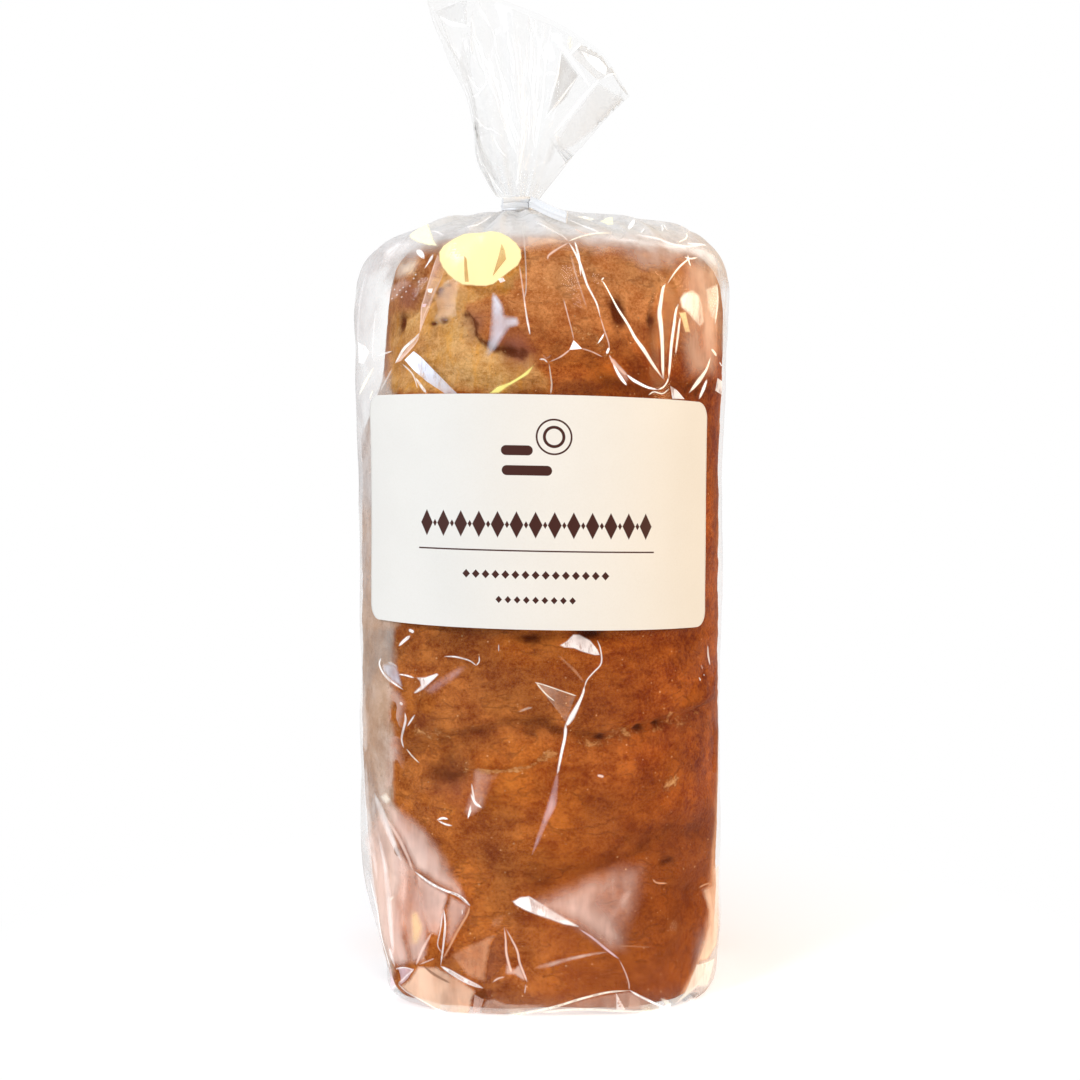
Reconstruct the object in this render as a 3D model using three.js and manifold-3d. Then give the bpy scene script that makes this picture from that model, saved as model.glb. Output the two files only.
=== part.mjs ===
// A brioche loaf in a clear bag tied at the top, standing on one end, with a paper label round its front.
// Millimetres, +Z up. The loaf's crown and the label face -Y, and the origin is the middle of the flat base.
import * as THREE from "three";
import { mergeVertices } from "three/addons/utils/BufferGeometryUtils.js";
import Module from "manifold-3d";

// Driving dimensions.
const bagWidth = 118;
const bagDepth = 98;
const tieHeight = 253; // base to the twist tie
const neckRadius = 5; // the film gathered under the tie
const neckShift = -7; // the tie sits left of the middle
const mouthReach = 36.3; // half the spread of the bag's mouth
const mouthDepth = 9; // half its opening, front to back
const mouthHeight = 70.5; // tie to the middle of the mouth's rim
const mouthSlant = 21.4; // how much its left end is higher, and its right end lower, than that
const mouthTip = 14; // how much further its right end droops
const mouthDrop = 8; // how much lower its front edge is than its back one
const mouthLean = 6; // how far its right end comes forward, and its left end goes back
const mouthWave = 1.2; // up and down along its edge
const neckSway = 0.08; // how far the neck's left side sways out and in on its way up
const labelWidth = 120; // measured round the front
const labelHeight = 70.5;
const labelMiddle = 151.5; // height of the label's centre
const labelShift = -1.3; // the label sits left of the middle
const labelTilt = 0.02; // radians, its right end down
const labelCorner = 5;
const labelThickness = 0.5;
const tieWidth = 3.6; // the flat ribbon of the tie
const tieThickness = 0.9;
const fitGap = 0.35; // between pieces that touch

// How fine the bag's mesh is.
const frontColumns = 40;
const backColumns = 20;
const bodyRows = 60;
const neckRows = 11;
const funnelRows = 3;

// The filled bag's outline from the base to the neck: how far it reaches to each side of the middle, as shares of
// half its width and depth, and how high, as a share of the tie's height.
const profile = [
  { up: 0, left: 0.85, right: 0.955, front: 1, back: 0.88 },
  { up: 0.035, left: 0.86, right: 0.985, front: 1.01, back: 0.94 },
  { up: 0.09, left: 0.935, right: 1.01, front: 1.01, back: 0.97 },
  { up: 0.18, left: 1, right: 1.012, front: 1.01, back: 0.98 },
  { up: 0.42, left: 1.015, right: 1.015, front: 1.03, back: 0.98 },
  { up: 0.6, left: 1.015, right: 1.025, front: 1.03, back: 0.98 },
  { up: 0.76, left: 1.035, right: 1.045, front: 1.01, back: 0.98 },
  { up: 0.86, left: 1.05, right: 1.06, front: 0.98, back: 0.97 },
  { up: 0.91, left: 1, right: 1.05, front: 0.92, back: 0.93 },
  { up: 0.945, left: 0.9, right: 0.98, front: 0.78, back: 0.81 },
  { up: 0.967, left: 0.71, right: 0.86, front: 0.59, back: 0.63 },
  { up: 0.982, left: 0.43, right: 0.54, front: 0.36, back: 0.39 },
  { up: 0.989, left: 0.26, right: 0.24, front: 0.19, back: 0.2 },
];
const frontRoundness = 2.1; // the crown is domed
const footRoundness = 3; // squarer where the film is folded under the loaf's end
const footHeight = 42; // how far up that reaches
const backRoundness = 4; // the tin's flat side, with squarer corners

// Joints between the lobes of dough, on the crown: ends as [x, z], how far the middle bows up, and size.
const seams = [
  { from: [-52, 78], to: [56, 95], bow: 2, depth: 6, width: 5 },
  { from: [-22, 33], to: [56, 58], bow: -3, depth: 5, width: 4.5 },
  { from: [30, 37], to: [56, 39], bow: 2, depth: 4, width: 3.5 },
  { from: [-38, 70], to: [4, 82], bow: 2, depth: 3, width: 3.5 },
  { from: [-52, 130], to: [56, 111], bow: -4, depth: 6, width: 5 },
  { from: [-52, 158], to: [56, 162], bow: 6, depth: 6, width: 5 },
  { from: [-52, 197], to: [4, 184], bow: 5, depth: 5, width: 7 },
  { from: [-12, 238], to: [-18, 196], bow: -4, depth: 4, width: 5 },
  { from: [14, 238], to: [46, 199], bow: -6, depth: 5, width: 5 },
];
const filmOverSeam = 0.45; // share of a seam's depth that the film sinks into

// Ridges where the film is folded, on the front: ends as [x, z] and how far the ridge stands out.
const folds = [
  { from: [-4.6, 240], to: [-2.7, 202], rise: 1.3 },
  { from: [9, 240], to: [20.7, 196], rise: 1.5 },
  { from: [-30.5, 236], to: [-43.6, 194], rise: 1.6 },
  { from: [19, 222], to: [38, 190], rise: 1.6 },
  { from: [46, 228], to: [38, 218], rise: 1.2 },
  { from: [38, 218], to: [38, 190], rise: 1.6 },
  { from: [-15, 190], to: [11.6, 201.7], rise: 1.2 },
  { from: [11.6, 201.7], to: [30.5, 194], rise: 1.2 },
  { from: [18.3, 109], to: [8.2, 90.4], rise: 1.3 },
  { from: [8.2, 90.4], to: [0, 48], rise: 1.5 },
  { from: [-8.5, 34], to: [29, 15.3], rise: 1.8 },
  { from: [29, 15.3], to: [40, 2], rise: 1.6 },
  { from: [-26, 31.5], to: [-43.6, 54.4], rise: 2 },
  { from: [-26, 31.5], to: [-30.5, 10], rise: 2 },
  { from: [-30.5, 14.7], to: [-12, 6], rise: 1.8 },
  { from: [-10.7, 26], to: [-6, 6], rise: 1.5 },
];
const foldWidth = 3.6;

// The pleats drawn in by the tie. An even number puts one at each end of the flat mouth.
const pleats = 12;
const mouthPleat = 0.3;
const tiePleat = 0.12;
const shoulderPleat = 0.16;

const clamp = THREE.MathUtils.clamp;
const lerp = THREE.MathUtils.lerp;
const smoothstep = THREE.MathUtils.smoothstep;

// A smooth curve through each measure of the profile.
const measures = Object.keys(profile[0]).map((key) => {
  const values = profile.map((row) => new THREE.Vector3(row[key], 0, 0));
  return [key, new THREE.CatmullRomCurve3(values, false, "catmullrom")];
});
const curves = Object.fromEntries(measures);

// One measure of the filled bag, a share of the way along its profile.
function measureAt(key, share) {
  return curves[key].getPoint(share).x;
}

// The bag's section a share of the way along its profile: height, reach to each side, and how square it is.
function sectionAt(share) {
  const up = measureAt("up", share);
  const closing = smoothstep(up, 0.9, 1);
  const middle = neckShift * closing;
  const height = up * tieHeight;
  const foot = 1 - smoothstep(height, 0, footHeight);
  return {
    height,
    middle,
    left: middle + (measureAt("left", share) * bagWidth) / 2,
    right: (measureAt("right", share) * bagWidth) / 2 - middle,
    front: (measureAt("front", share) * bagDepth) / 2,
    back: (measureAt("back", share) * bagDepth) / 2,
    frontPower: lerp(lerp(frontRoundness, 2, closing), footRoundness, foot),
    backPower: lerp(backRoundness, 2, closing),
  };
}

// Sections spaced evenly along the bag's right outline, from the base to the neck.
function evenSections(count) {
  const fineSteps = 300;
  const fine = Array.from({ length: fineSteps + 1 }, (_, i) => sectionAt(i / fineSteps));
  const lengths = [0];
  for (let i = 1; i <= fineSteps; i++) {
    const [below, here] = [fine[i - 1], fine[i]];
    lengths.push(lengths[i - 1] + Math.hypot(here.right - below.right, here.height - below.height));
  }
  return Array.from({ length: count + 1 }, (_, k) => {
    const wanted = (lengths[fineSteps] * k) / count;
    let i = 1;
    while (i < fineSteps && lengths[i] < wanted) i++;
    const part = (wanted - lengths[i - 1]) / (lengths[i] - lengths[i - 1]);
    return sectionAt((i - 1 + part) / fineSteps);
  });
}

// The section of the bag's upright part at a given height.
function sectionAtHeight(height) {
  let [low, high] = [0, 1];
  for (let i = 0; i < 30; i++) {
    const share = (low + high) / 2;
    if (measureAt("up", share) * tieHeight < height) low = share;
    else high = share;
  }
  return sectionAt(low);
}

// The smooth outline of a section at an angle round from the front, with its outward direction.
function outlinePoint(section, angle) {
  const [s, c] = [Math.sin(angle), Math.cos(angle)];
  const power = c > 0 ? section.frontPower : section.backPower;
  const reach = s < 0 ? section.left : section.right;
  const depth = c > 0 ? section.front : section.back;
  const across = Math.sign(s) * Math.abs(s) ** (2 / power);
  const along = -Math.sign(c) * Math.abs(c) ** (2 / power);
  const outward = new THREE.Vector3(
    (Math.sign(across) * Math.abs(across) ** (power - 1)) / reach,
    (Math.sign(along) * Math.abs(along) ** (power - 1)) / depth,
    0,
  ).normalize();
  return {
    point: new THREE.Vector3(section.middle + across * reach, along * depth, section.height),
    outward,
  };
}

// Distance from a point to a straight line between two ends, and the share of the line it lies beside.
function besideLine([x, z], [x1, z1], [x2, z2]) {
  const [dx, dz] = [x2 - x1, z2 - z1];
  const share = clamp(((x - x1) * dx + (z - z1) * dz) / (dx * dx + dz * dz), 0, 1);
  return { distance: Math.hypot(x - x1 - share * dx, z - z1 - share * dz), share };
}

// How deep the lobes' joints are at a place on the crown, the deepest one winning.
function seamDepth(x, z) {
  let depth = 0;
  for (const seam of seams) {
    const { share } = besideLine([x, z], seam.from, seam.to);
    const lift = 4 * seam.bow * share * (1 - share);
    const { distance } = besideLine([x, z - lift], seam.from, seam.to);
    depth = Math.max(depth, seam.depth * Math.exp(-((distance / seam.width) ** 2)));
  }
  return depth;
}

// How far the film's folds stand out at a place, the highest one winning.
function foldRise(x, z) {
  let rise = 0;
  for (const fold of folds) {
    const { distance } = besideLine([x, z], fold.from, fold.to);
    rise = Math.max(rise, fold.rise * Math.exp(-((distance / foldWidth) ** 2)));
  }
  return rise;
}

// 1 away from the label, and 0 under it, where the film lies smooth. It ends where the front turns to the side.
function clearOfLabel(z, outward) {
  const aboveOrBelow = (Math.abs(z - labelMiddle) - labelHeight / 2 - 2) / 5;
  const beside = (outward.y + 0.35) / 0.1;
  return clamp(Math.max(aboveOrBelow, beside), 0, 1);
}

// The film's surface on a section at an angle, lobes, folds and shoulder pleats included.
function filmPoint(section, angle) {
  const { point, outward } = outlinePoint(section, angle);
  const up = section.height / tieHeight;
  const facing = smoothstep(-outward.y, 0.15, 0.6);
  const open = clearOfLabel(section.height, outward);
  const upper = 1 - smoothstep(up, 0.93, 0.97);
  const sunk = filmOverSeam * seamDepth(point.x, section.height);
  const raised = foldRise(point.x, section.height);
  point.addScaledVector(outward, (raised - sunk) * facing * open * upper);
  const drawn = smoothstep(up, 0.9, 0.98);
  const pinch = 1 - shoulderPleat * drawn * pleatAt(angle);
  point.x = section.middle + (point.x - section.middle) * pinch;
  point.y *= pinch;
  return point;
}

// How far an angle is into a pleat: 0 on its ridge and 1 in the fold between two.
function pleatAt(angle) {
  return 0.5 - 0.5 * Math.cos(pleats * (angle - Math.PI / 2));
}

// Angles round the bag, closer together in the middle of the front, where the relief is.
function columnAngles() {
  const front = Array.from({ length: frontColumns }, (_, j) => {
    const share = (2 * j) / frontColumns - 1;
    return (Math.PI / 2) * (share - 0.1 * Math.sin(Math.PI * share));
  });
  const back = Array.from({ length: backColumns }, (_, j) => Math.PI / 2 + (Math.PI * j) / backColumns);
  return [...front, ...back];
}

// The mouth of the bag, fanned out above the tie.
function mouthPoint(angle) {
  const [s, c] = [Math.sin(angle), Math.cos(angle)];
  const fold = 1 - mouthPleat * pleatAt(angle);
  const droop = mouthTip * clamp((s - 0.7) / 0.3, 0, 1) ** 2 + mouthDrop * Math.max(c, 0);
  return new THREE.Vector3(
    neckShift + mouthReach * s * lerp(fold, 1, Math.abs(s)),
    -mouthDepth * c * fold - mouthLean * s,
    tieHeight + mouthHeight - mouthSlant * s - droop + mouthWave * Math.sin(5 * angle),
  );
}

const neckCentre = new THREE.Vector3(neckShift, 0, tieHeight);
const mouthCentre = new THREE.Vector3(neckShift, 0, tieHeight + mouthHeight);

// A point on the gathered neck, by the share of the way from the tie up to the mouth.
function neckPoint(share, angle) {
  const fold = 1 - tiePleat * pleatAt(angle);
  const gathered = new THREE.Vector3(Math.sin(angle), -Math.cos(angle), 0)
    .multiplyScalar(neckRadius * fold)
    .add(neckCentre);
  const mouth = mouthPoint(angle);
  const side = Math.sin(angle);
  const sway = neckSway * Math.max(-side, 0) * Math.sin((2 * Math.PI * share) / 0.6) * Math.sqrt(1 - share);
  const spread = share ** lerp(0.9, 1.12, Math.max(side, 0)) + sway;
  return new THREE.Vector3(
    lerp(gathered.x, mouth.x, spread),
    lerp(gathered.y, mouth.y, spread),
    lerp(gathered.z, mouth.z, share),
  );
}

// Closes a stack of rings, all with the same number of points, into one solid with a point at each end.
function loftRings(rings, firstPole, lastPole) {
  const columns = rings[0].length;
  const points = [firstPole, ...rings.flat(), lastPole];
  const at = (row, column) => 1 + row * columns + (column % columns);
  const index = [];
  for (let j = 0; j < columns; j++) {
    index.push(0, at(0, j + 1), at(0, j));
    index.push(points.length - 1, at(rings.length - 1, j), at(rings.length - 1, j + 1));
    for (let i = 0; i + 1 < rings.length; i++) {
      index.push(at(i, j), at(i, j + 1), at(i + 1, j + 1));
      index.push(at(i, j), at(i + 1, j + 1), at(i + 1, j));
    }
  }
  const geometry = new THREE.BufferGeometry().setFromPoints(points);
  geometry.setIndex(index);
  return geometry;
}

// The bag with the loaf in it, as one solid out to the film: base, body, shoulders, neck and open mouth.
function bagGeometry() {
  const angles = columnAngles();
  const tieHalf = tieWidth / 2 + 1;
  const rings = evenSections(bodyRows).map((section) => angles.map((angle) => filmPoint(section, angle)));
  for (const lift of [-tieHalf, tieHalf]) {
    rings.push(angles.map((angle) => neckPoint(0, angle).setZ(tieHeight + lift)));
  }
  const flareFoot = 0.09; // the share of the neck beside the tie
  for (let i = 1; i <= neckRows; i++) {
    const share = lerp(flareFoot, 1, i / neckRows);
    rings.push(angles.map((angle) => neckPoint(share, angle)));
  }
  const hollow = 0.9; // the share of the mouth that is open
  const funnelFoot = 0.6; // how far up the neck the opening ends
  for (let i = 0; i <= funnelRows; i++) {
    const share = lerp(1, funnelFoot, i / funnelRows);
    const centre = neckCentre.clone().lerp(mouthCentre, share);
    rings.push(angles.map((angle) => neckPoint(share, angle).sub(centre).multiplyScalar(hollow).add(centre)));
  }
  const funnelPole = neckCentre.clone().lerp(mouthCentre, funnelFoot - 0.04);
  return loftRings(rings, new THREE.Vector3(0, 0, 0), funnelPole);
}

// A place on the smooth front, by distance round it from the middle, lifted off the film.
function labelPoint(distance, height, lift) {
  const section = sectionAtHeight(height);
  const step = 0.01;
  let walked = 0;
  let angle = 0;
  let here = outlinePoint(section, angle);
  while (walked < Math.abs(distance)) {
    angle += Math.sign(distance) * step;
    const next = outlinePoint(section, angle);
    const run = next.point.distanceTo(here.point);
    if (walked + run > Math.abs(distance)) {
      const part = (Math.abs(distance) - walked) / run;
      next.point.lerpVectors(here.point, next.point, part);
      next.outward.lerpVectors(here.outward, next.outward, part).normalize();
    }
    walked += run;
    here = next;
  }
  return here.point.addScaledVector(here.outward, lift);
}

// The label as a thin bent plate with rounded corners, a little clear of the film behind it.
function labelGeometry() {
  const columns = 26;
  const straightRows = 6;
  const cornerRows = 4;
  const straight = labelHeight / 2 - labelCorner;
  const corner = Array.from({ length: cornerRows }, (_, i) => {
    return straight + labelCorner * Math.sin((((i + 1) / cornerRows) * Math.PI) / 2);
  });
  const middle = Array.from({ length: straightRows + 1 }, (_, i) => lerp(-straight, straight, i / straightRows));
  const rows = [...corner.map((v) => -v).reverse(), ...middle, ...corner];
  const points = [];
  for (const lift of [fitGap, fitGap + labelThickness]) {
    for (const v of rows) {
      const past = Math.max(0, Math.abs(v) - straight);
      const half = labelWidth / 2 - labelCorner + Math.sqrt(Math.max(0, labelCorner ** 2 - past ** 2));
      for (let j = 0; j <= columns; j++) {
        const across = lerp(-half, half, j / columns);
        points.push(labelPoint(labelShift + across, labelMiddle + v - across * Math.tan(labelTilt), lift));
      }
    }
  }
  return plateGeometry(points, rows.length, columns + 1);
}

// Joins two equal grids of points, the back one first, into one closed plate.
function plateGeometry(points, rows, columns) {
  const at = (side, i, j) => (side * rows + i) * columns + j;
  const index = [];
  const quad = (a, b, c, d) => index.push(a, b, c, a, c, d);
  for (let i = 0; i + 1 < rows; i++) {
    for (let j = 0; j + 1 < columns; j++) {
      quad(at(1, i, j), at(1, i, j + 1), at(1, i + 1, j + 1), at(1, i + 1, j));
      quad(at(0, i, j), at(0, i + 1, j), at(0, i + 1, j + 1), at(0, i, j + 1));
    }
    quad(at(0, i, 0), at(1, i, 0), at(1, i + 1, 0), at(0, i + 1, 0));
    quad(at(1, i, columns - 1), at(0, i, columns - 1), at(0, i + 1, columns - 1), at(1, i + 1, columns - 1));
  }
  for (let j = 0; j + 1 < columns; j++) {
    quad(at(0, 0, j), at(0, 0, j + 1), at(1, 0, j + 1), at(1, 0, j));
    quad(at(1, rows - 1, j), at(1, rows - 1, j + 1), at(0, rows - 1, j + 1), at(0, rows - 1, j));
  }
  const geometry = new THREE.BufferGeometry().setFromPoints(points);
  geometry.setIndex(index);
  return geometry;
}

// A flat ribbon along a curve. Its width lies along a direction that turns evenly from one end to the other.
function ribbonGeometry(curve, firstWide, lastWide) {
  const steps = 12;
  const rings = [];
  for (let i = 0; i <= steps; i++) {
    const share = i / steps;
    const centre = curve.getPointAt(share);
    const tangent = curve.getTangentAt(share);
    const wide = firstWide.clone().lerp(lastWide, share);
    wide.addScaledVector(tangent, -wide.dot(tangent)).normalize();
    const thick = tangent.clone().cross(wide);
    const corners = [[-1, -1], [1, -1], [1, 1], [-1, 1]];
    rings.push(
      corners.map(([w, t]) =>
        centre
          .clone()
          .addScaledVector(wide, (w * tieWidth) / 2)
          .addScaledVector(thick, (t * tieThickness) / 2),
      ),
    );
  }
  return loftRings(rings, curve.getPointAt(0), curve.getPointAt(1));
}

// The band of the tie round the neck.
function tieBandGeometry() {
  const inner = neckRadius + fitGap;
  const outer = inner + tieThickness;
  const half = tieWidth / 2;
  const corners = [[inner, -half], [outer, -half], [outer, half], [inner, half], [inner, -half]];
  const band = new THREE.LatheGeometry(corners.map(([r, z]) => new THREE.Vector2(r, z)), 32);
  return band.rotateX(Math.PI / 2).translate(neckShift, 0, tieHeight);
}

// The ribbon's two free ends, which leave the twist at the front right of the neck and lie over the shoulder.
function tieTailGeometries() {
  const twist = new THREE.Vector3(neckShift + 3.8, -4.4, tieHeight);
  const place = (x, y, z) => twist.clone().add(new THREE.Vector3(x, y, z));
  const long = [
    place(0, 0, 0),
    place(0, -9.6, -1.2),
    place(2.2, -20.6, -4.4),
    place(6.2, -28.1, -7.8),
    place(11.4, -32.4, -10.7),
  ];
  const short = [place(0, 0, 0), place(-1.6, -3.2, 0), place(-5.2, -5.4, -0.4), place(-9, -6, -0.8)];
  const upright = new THREE.Vector3(0, 0, 1);
  return [
    ribbonGeometry(new THREE.CatmullRomCurve3(long), upright, new THREE.Vector3(0.25, -0.6, 0.75)),
    ribbonGeometry(new THREE.CatmullRomCurve3(short), upright, new THREE.Vector3(0, -0.3, 1)),
  ];
}

const wasm = await Module();
wasm.setup();

// A closed geometry as a manifold-3d solid, and back.
function toSolid(geometry) {
  const bare = new THREE.BufferGeometry();
  bare.setAttribute("position", geometry.getAttribute("position"));
  bare.setIndex(geometry.getIndex());
  const merged = mergeVertices(bare, 1e-4);
  return new wasm.Manifold(
    new wasm.Mesh({
      numProp: 3,
      vertProperties: merged.attributes.position.array,
      triVerts: new Uint32Array(merged.index.array),
    }),
  );
}

function toGeometry(solid) {
  const mesh = solid.getMesh();
  const geometry = new THREE.BufferGeometry();
  geometry.setAttribute("position", new THREE.BufferAttribute(mesh.vertProperties, 3));
  geometry.setIndex(new THREE.BufferAttribute(mesh.triVerts, 1));
  return geometry;
}

// The twist tie, one ribbon: the band and its two ends joined.
function tieGeometry() {
  const pieces = [tieBandGeometry(), ...tieTailGeometries()].map(toSolid);
  return toGeometry(pieces.reduce((all, piece) => all.add(piece)));
}

function piece(name, geometry, color, roughness) {
  geometry.computeVertexNormals();
  const mesh = new THREE.Mesh(geometry, new THREE.MeshStandardMaterial({ color, roughness, metalness: 0 }));
  mesh.name = name;
  return mesh;
}

const loaf = new THREE.Group();
loaf.add(piece("bag", bagGeometry(), 0xa9663a, 0.35));
loaf.add(piece("label", labelGeometry(), 0xf3ede0, 0.5));
loaf.add(piece("twist_tie", tieGeometry(), 0xfafafa, 0.45));

export default loaf;
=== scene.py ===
import math

import bpy
import numpy as np
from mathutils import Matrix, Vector, bvhtree, geometry, noise


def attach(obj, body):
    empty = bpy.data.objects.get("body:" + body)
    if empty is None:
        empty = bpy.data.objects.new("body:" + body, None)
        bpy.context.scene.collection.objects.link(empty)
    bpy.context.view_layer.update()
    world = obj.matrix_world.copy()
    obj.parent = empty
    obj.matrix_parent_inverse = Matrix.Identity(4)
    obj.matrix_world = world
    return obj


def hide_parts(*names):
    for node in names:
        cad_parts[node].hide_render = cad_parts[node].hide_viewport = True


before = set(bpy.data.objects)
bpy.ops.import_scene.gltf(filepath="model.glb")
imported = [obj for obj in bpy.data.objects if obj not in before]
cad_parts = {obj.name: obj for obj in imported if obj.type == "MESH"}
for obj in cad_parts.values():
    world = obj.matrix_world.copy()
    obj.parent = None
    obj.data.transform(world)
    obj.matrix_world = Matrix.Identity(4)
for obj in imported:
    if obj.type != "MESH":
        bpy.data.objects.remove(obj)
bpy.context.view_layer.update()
print("frame loaded:", sorted(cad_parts))

mm = 0.001


# Helpers for numbers


def ease(x, low, high):
    t = np.clip((x - low) / (high - low), 0, 1)
    return t * t * (3 - 2 * t)


def blendTo(a, b, share):
    return a + (b - a) * share


def unit(v):
    return v / np.maximum(np.linalg.norm(v, axis=-1, keepdims=True), 1e-9)


def roughNoise(points, size, octaves=2, shift=0.0):
    # cloudy noise between about -1 and 1, with lumps of a size
    scaled = points / size + shift
    return np.array([noise.fractal(Vector(p), 0.9, 2.0, octaves) for p in scaled])


def nearLine(x, z, line):
    # distance to a line of several points, which side of it (1 on its left), and the share of its length
    best = np.full(x.shape, 1e9)
    side = np.zeros(x.shape)
    share = np.zeros(x.shape)
    line = np.array(line, float)
    runs = np.linalg.norm(np.diff(line, axis=0), axis=1)
    walked = np.concatenate([[0], np.cumsum(runs)])
    for k, (a, b) in enumerate(zip(line[:-1], line[1:])):
        d = b - a
        t = np.clip(((x - a[0]) * d[0] + (z - a[1]) * d[1]) / (d @ d), 0, 1)
        away = np.hypot(x - a[0] - t * d[0], z - a[1] - t * d[1])
        near = away < best
        best = np.where(near, away, best)
        side = np.where(near, np.sign(d[0] * (z - a[1]) - d[1] * (x - a[0])), side)
        share = np.where(near, (walked[k] + t * runs[k]) / walked[-1], share)
    return best, side, share


def insideOutline(x, z, corners):
    # distance to a closed outline, positive inside it
    closed = list(corners) + [corners[0]]
    away, _, _ = nearLine(x, z, closed)
    inside = np.zeros(x.shape, bool)
    for (ax, az), (bx, bz) in zip(closed[:-1], closed[1:]):
        if az == bz:
            continue
        crosses = ((az > z) != (bz > z)) & (x < (bx - ax) * (z - az) / (bz - az) + ax)
        inside ^= crosses
    return np.where(inside, away, -away)


def smoothLine(points, steps):
    # a smooth curve through points, as steps + 1 places
    points = np.array(points, float)
    padded = np.vstack([2 * points[0] - points[1], points, 2 * points[-1] - points[-2]])
    places = np.linspace(0, len(points) - 1, steps + 1)
    first = np.clip(places.astype(int), 0, len(points) - 2)
    t = (places - first)[:, None]
    a, b, c, d = (padded[first + k] for k in range(4))
    bend = (2 * t**3 - 3 * t**2 + 1) * b + (3 * t**2 - 2 * t**3) * c
    return bend + (t**3 - 2 * t**2 + t) * 0.5 * (c - a) + (t**3 - t**2) * 0.5 * (d - b)


def fadeEnds(share, run):
    # 1 along a line, and less near its two ends
    return ease(share, -0.02, run) * (1 - ease(share, 1 - run, 1.02))


def pleatWave(angle, count, waver):
    # evenly spread pleats that waver: 1 on their ridges and 0 between them
    return np.abs(((angle * count / (2 * math.pi) + waver) % 1) - 0.5) * 2


def outwardOf(base):
    # outward directions of a surface that closes on itself round the bag
    across = np.gradient(base, axis=1)
    along = np.gradient(base, axis=0)
    across[:, 0] = across[:, -1] = base[:, 1] - base[:, -2]
    return unit(np.cross(across, along))


# Helpers for meshes


def clearSelection():
    bpy.ops.object.select_all(action="DESELECT")


def pick(piece):
    clearSelection()
    piece.select_set(True)
    bpy.context.view_layer.objects.active = piece


def newGrid(name, columns, rows):
    clearSelection()
    bpy.ops.mesh.primitive_grid_add(x_subdivisions=columns, y_subdivisions=rows, size=2)
    piece = bpy.context.object
    piece.name = piece.data.name = name
    return piece


def readPoints(piece, what="co"):
    values = np.zeros(len(piece.data.vertices) * 3)
    piece.data.vertices.foreach_get(what, values)
    return values.reshape(-1, 3)


def writePoints(piece, points):
    piece.data.vertices.foreach_set("co", (points * mm).ravel())
    piece.data.update()


def writeNumbers(piece, name, values):
    attribute = piece.data.attributes.new(name, "FLOAT", "POINT")
    attribute.data.foreach_set("value", np.clip(values, 0, 1).astype(np.float32).ravel())


def closeSeams(piece, gap=0.01):
    pick(piece)
    bpy.ops.object.mode_set(mode="EDIT")
    bpy.ops.mesh.select_all(action="SELECT")
    bpy.ops.mesh.remove_doubles(threshold=gap * mm)
    bpy.ops.object.mode_set(mode="OBJECT")
    bpy.ops.object.shade_smooth()


def applyModifier(piece, kind, name, **settings):
    pick(piece)
    modifier = piece.modifiers.new(name, kind)
    for key, value in settings.items():
        setattr(modifier, key, value)
    bpy.ops.object.modifier_apply(modifier=name)


def joinPieces(name, parts):
    clearSelection()
    for part in parts:
        part.select_set(True)
    bpy.context.view_layer.objects.active = parts[0]
    bpy.ops.object.join()
    piece = bpy.context.object
    piece.name = piece.data.name = name
    return piece


def finishPiece(piece, material, node):
    piece.data.materials.clear()
    piece.data.materials.append(material)
    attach(piece, "root")
    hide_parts(node)


# Helpers for materials


def newMaterial(name):
    material = bpy.data.materials.new(name)
    material.use_nodes = True
    material.node_tree.nodes.clear()
    return material, material.node_tree


def addNode(tree, kind, options=None, sockets=None):
    node = tree.nodes.new("ShaderNode" + kind)
    for key, value in (options or {}).items():
        setattr(node, key, value)
    for key, value in (sockets or {}).items():
        if isinstance(value, bpy.types.NodeSocket):
            tree.links.new(value, node.inputs[key])
        else:
            node.inputs[key].default_value = value
    return node


def tone(red, green, blue):
    # a colour as it looks on a screen, 0 to 255, as a shader's colour
    parts = [c / 255 for c in (red, green, blue)]
    return (*[c / 12.92 if c < 0.04045 else ((c + 0.055) / 1.055) ** 2.4 for c in parts], 1)


def maths(tree, kind, a, b=0.0, clamp=False):
    node = addNode(tree, "Math", {"operation": kind, "use_clamp": clamp}, {0: a, 1: b})
    return node.outputs[0]


def times(tree, a, b, clamp=False):
    return maths(tree, "MULTIPLY", a, b, clamp)


def plus(tree, a, b, clamp=False):
    return maths(tree, "ADD", a, b, clamp)


def minus(tree, a, b):
    return maths(tree, "SUBTRACT", a, b)


def mixTones(tree, share, a, b, way="MIX"):
    node = addNode(tree, "Mix", {"data_type": "RGBA", "blend_type": way}, {0: share, 6: a, 7: b})
    return node.outputs[2]


def greyOf(tree, value):
    return addNode(tree, "CombineColor", None, {0: value, 1: value, 2: value}).outputs[0]


def stretch(tree, value, low, high, newLow=0.0, newHigh=1.0):
    # a smooth step from one range to another
    sockets = {"Value": value, "From Min": low, "From Max": high, "To Min": newLow, "To Max": newHigh}
    return addNode(tree, "MapRange", {"interpolation_type": "SMOOTHSTEP"}, sockets).outputs[0]


def cloud(tree, vector, size, detail=3.0, roughness=0.5):
    sockets = {"Vector": vector, "Scale": 1 / (size * mm), "Detail": detail, "Roughness": roughness}
    return addNode(tree, "TexNoise", None, sockets).outputs["Fac"]


def painted(tree, name):
    return addNode(tree, "Attribute", {"attribute_name": name}).outputs["Fac"]


def objectPlace(tree):
    return addNode(tree, "TexCoord").outputs["Object"]


def drawnOut(tree, place, scale, turn=0.0):
    # places scaled unevenly and turned about Y, so that a noise is drawn out along one way
    sockets = {"Vector": place, "Rotation": (0, turn, 0), "Scale": scale}
    return addNode(tree, "Mapping", None, sockets).outputs[0]


def bumps(tree, height, strength, distance):
    sockets = {"Height": height, "Strength": strength, "Distance": distance}
    return addNode(tree, "Bump", None, sockets).outputs[0]


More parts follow.
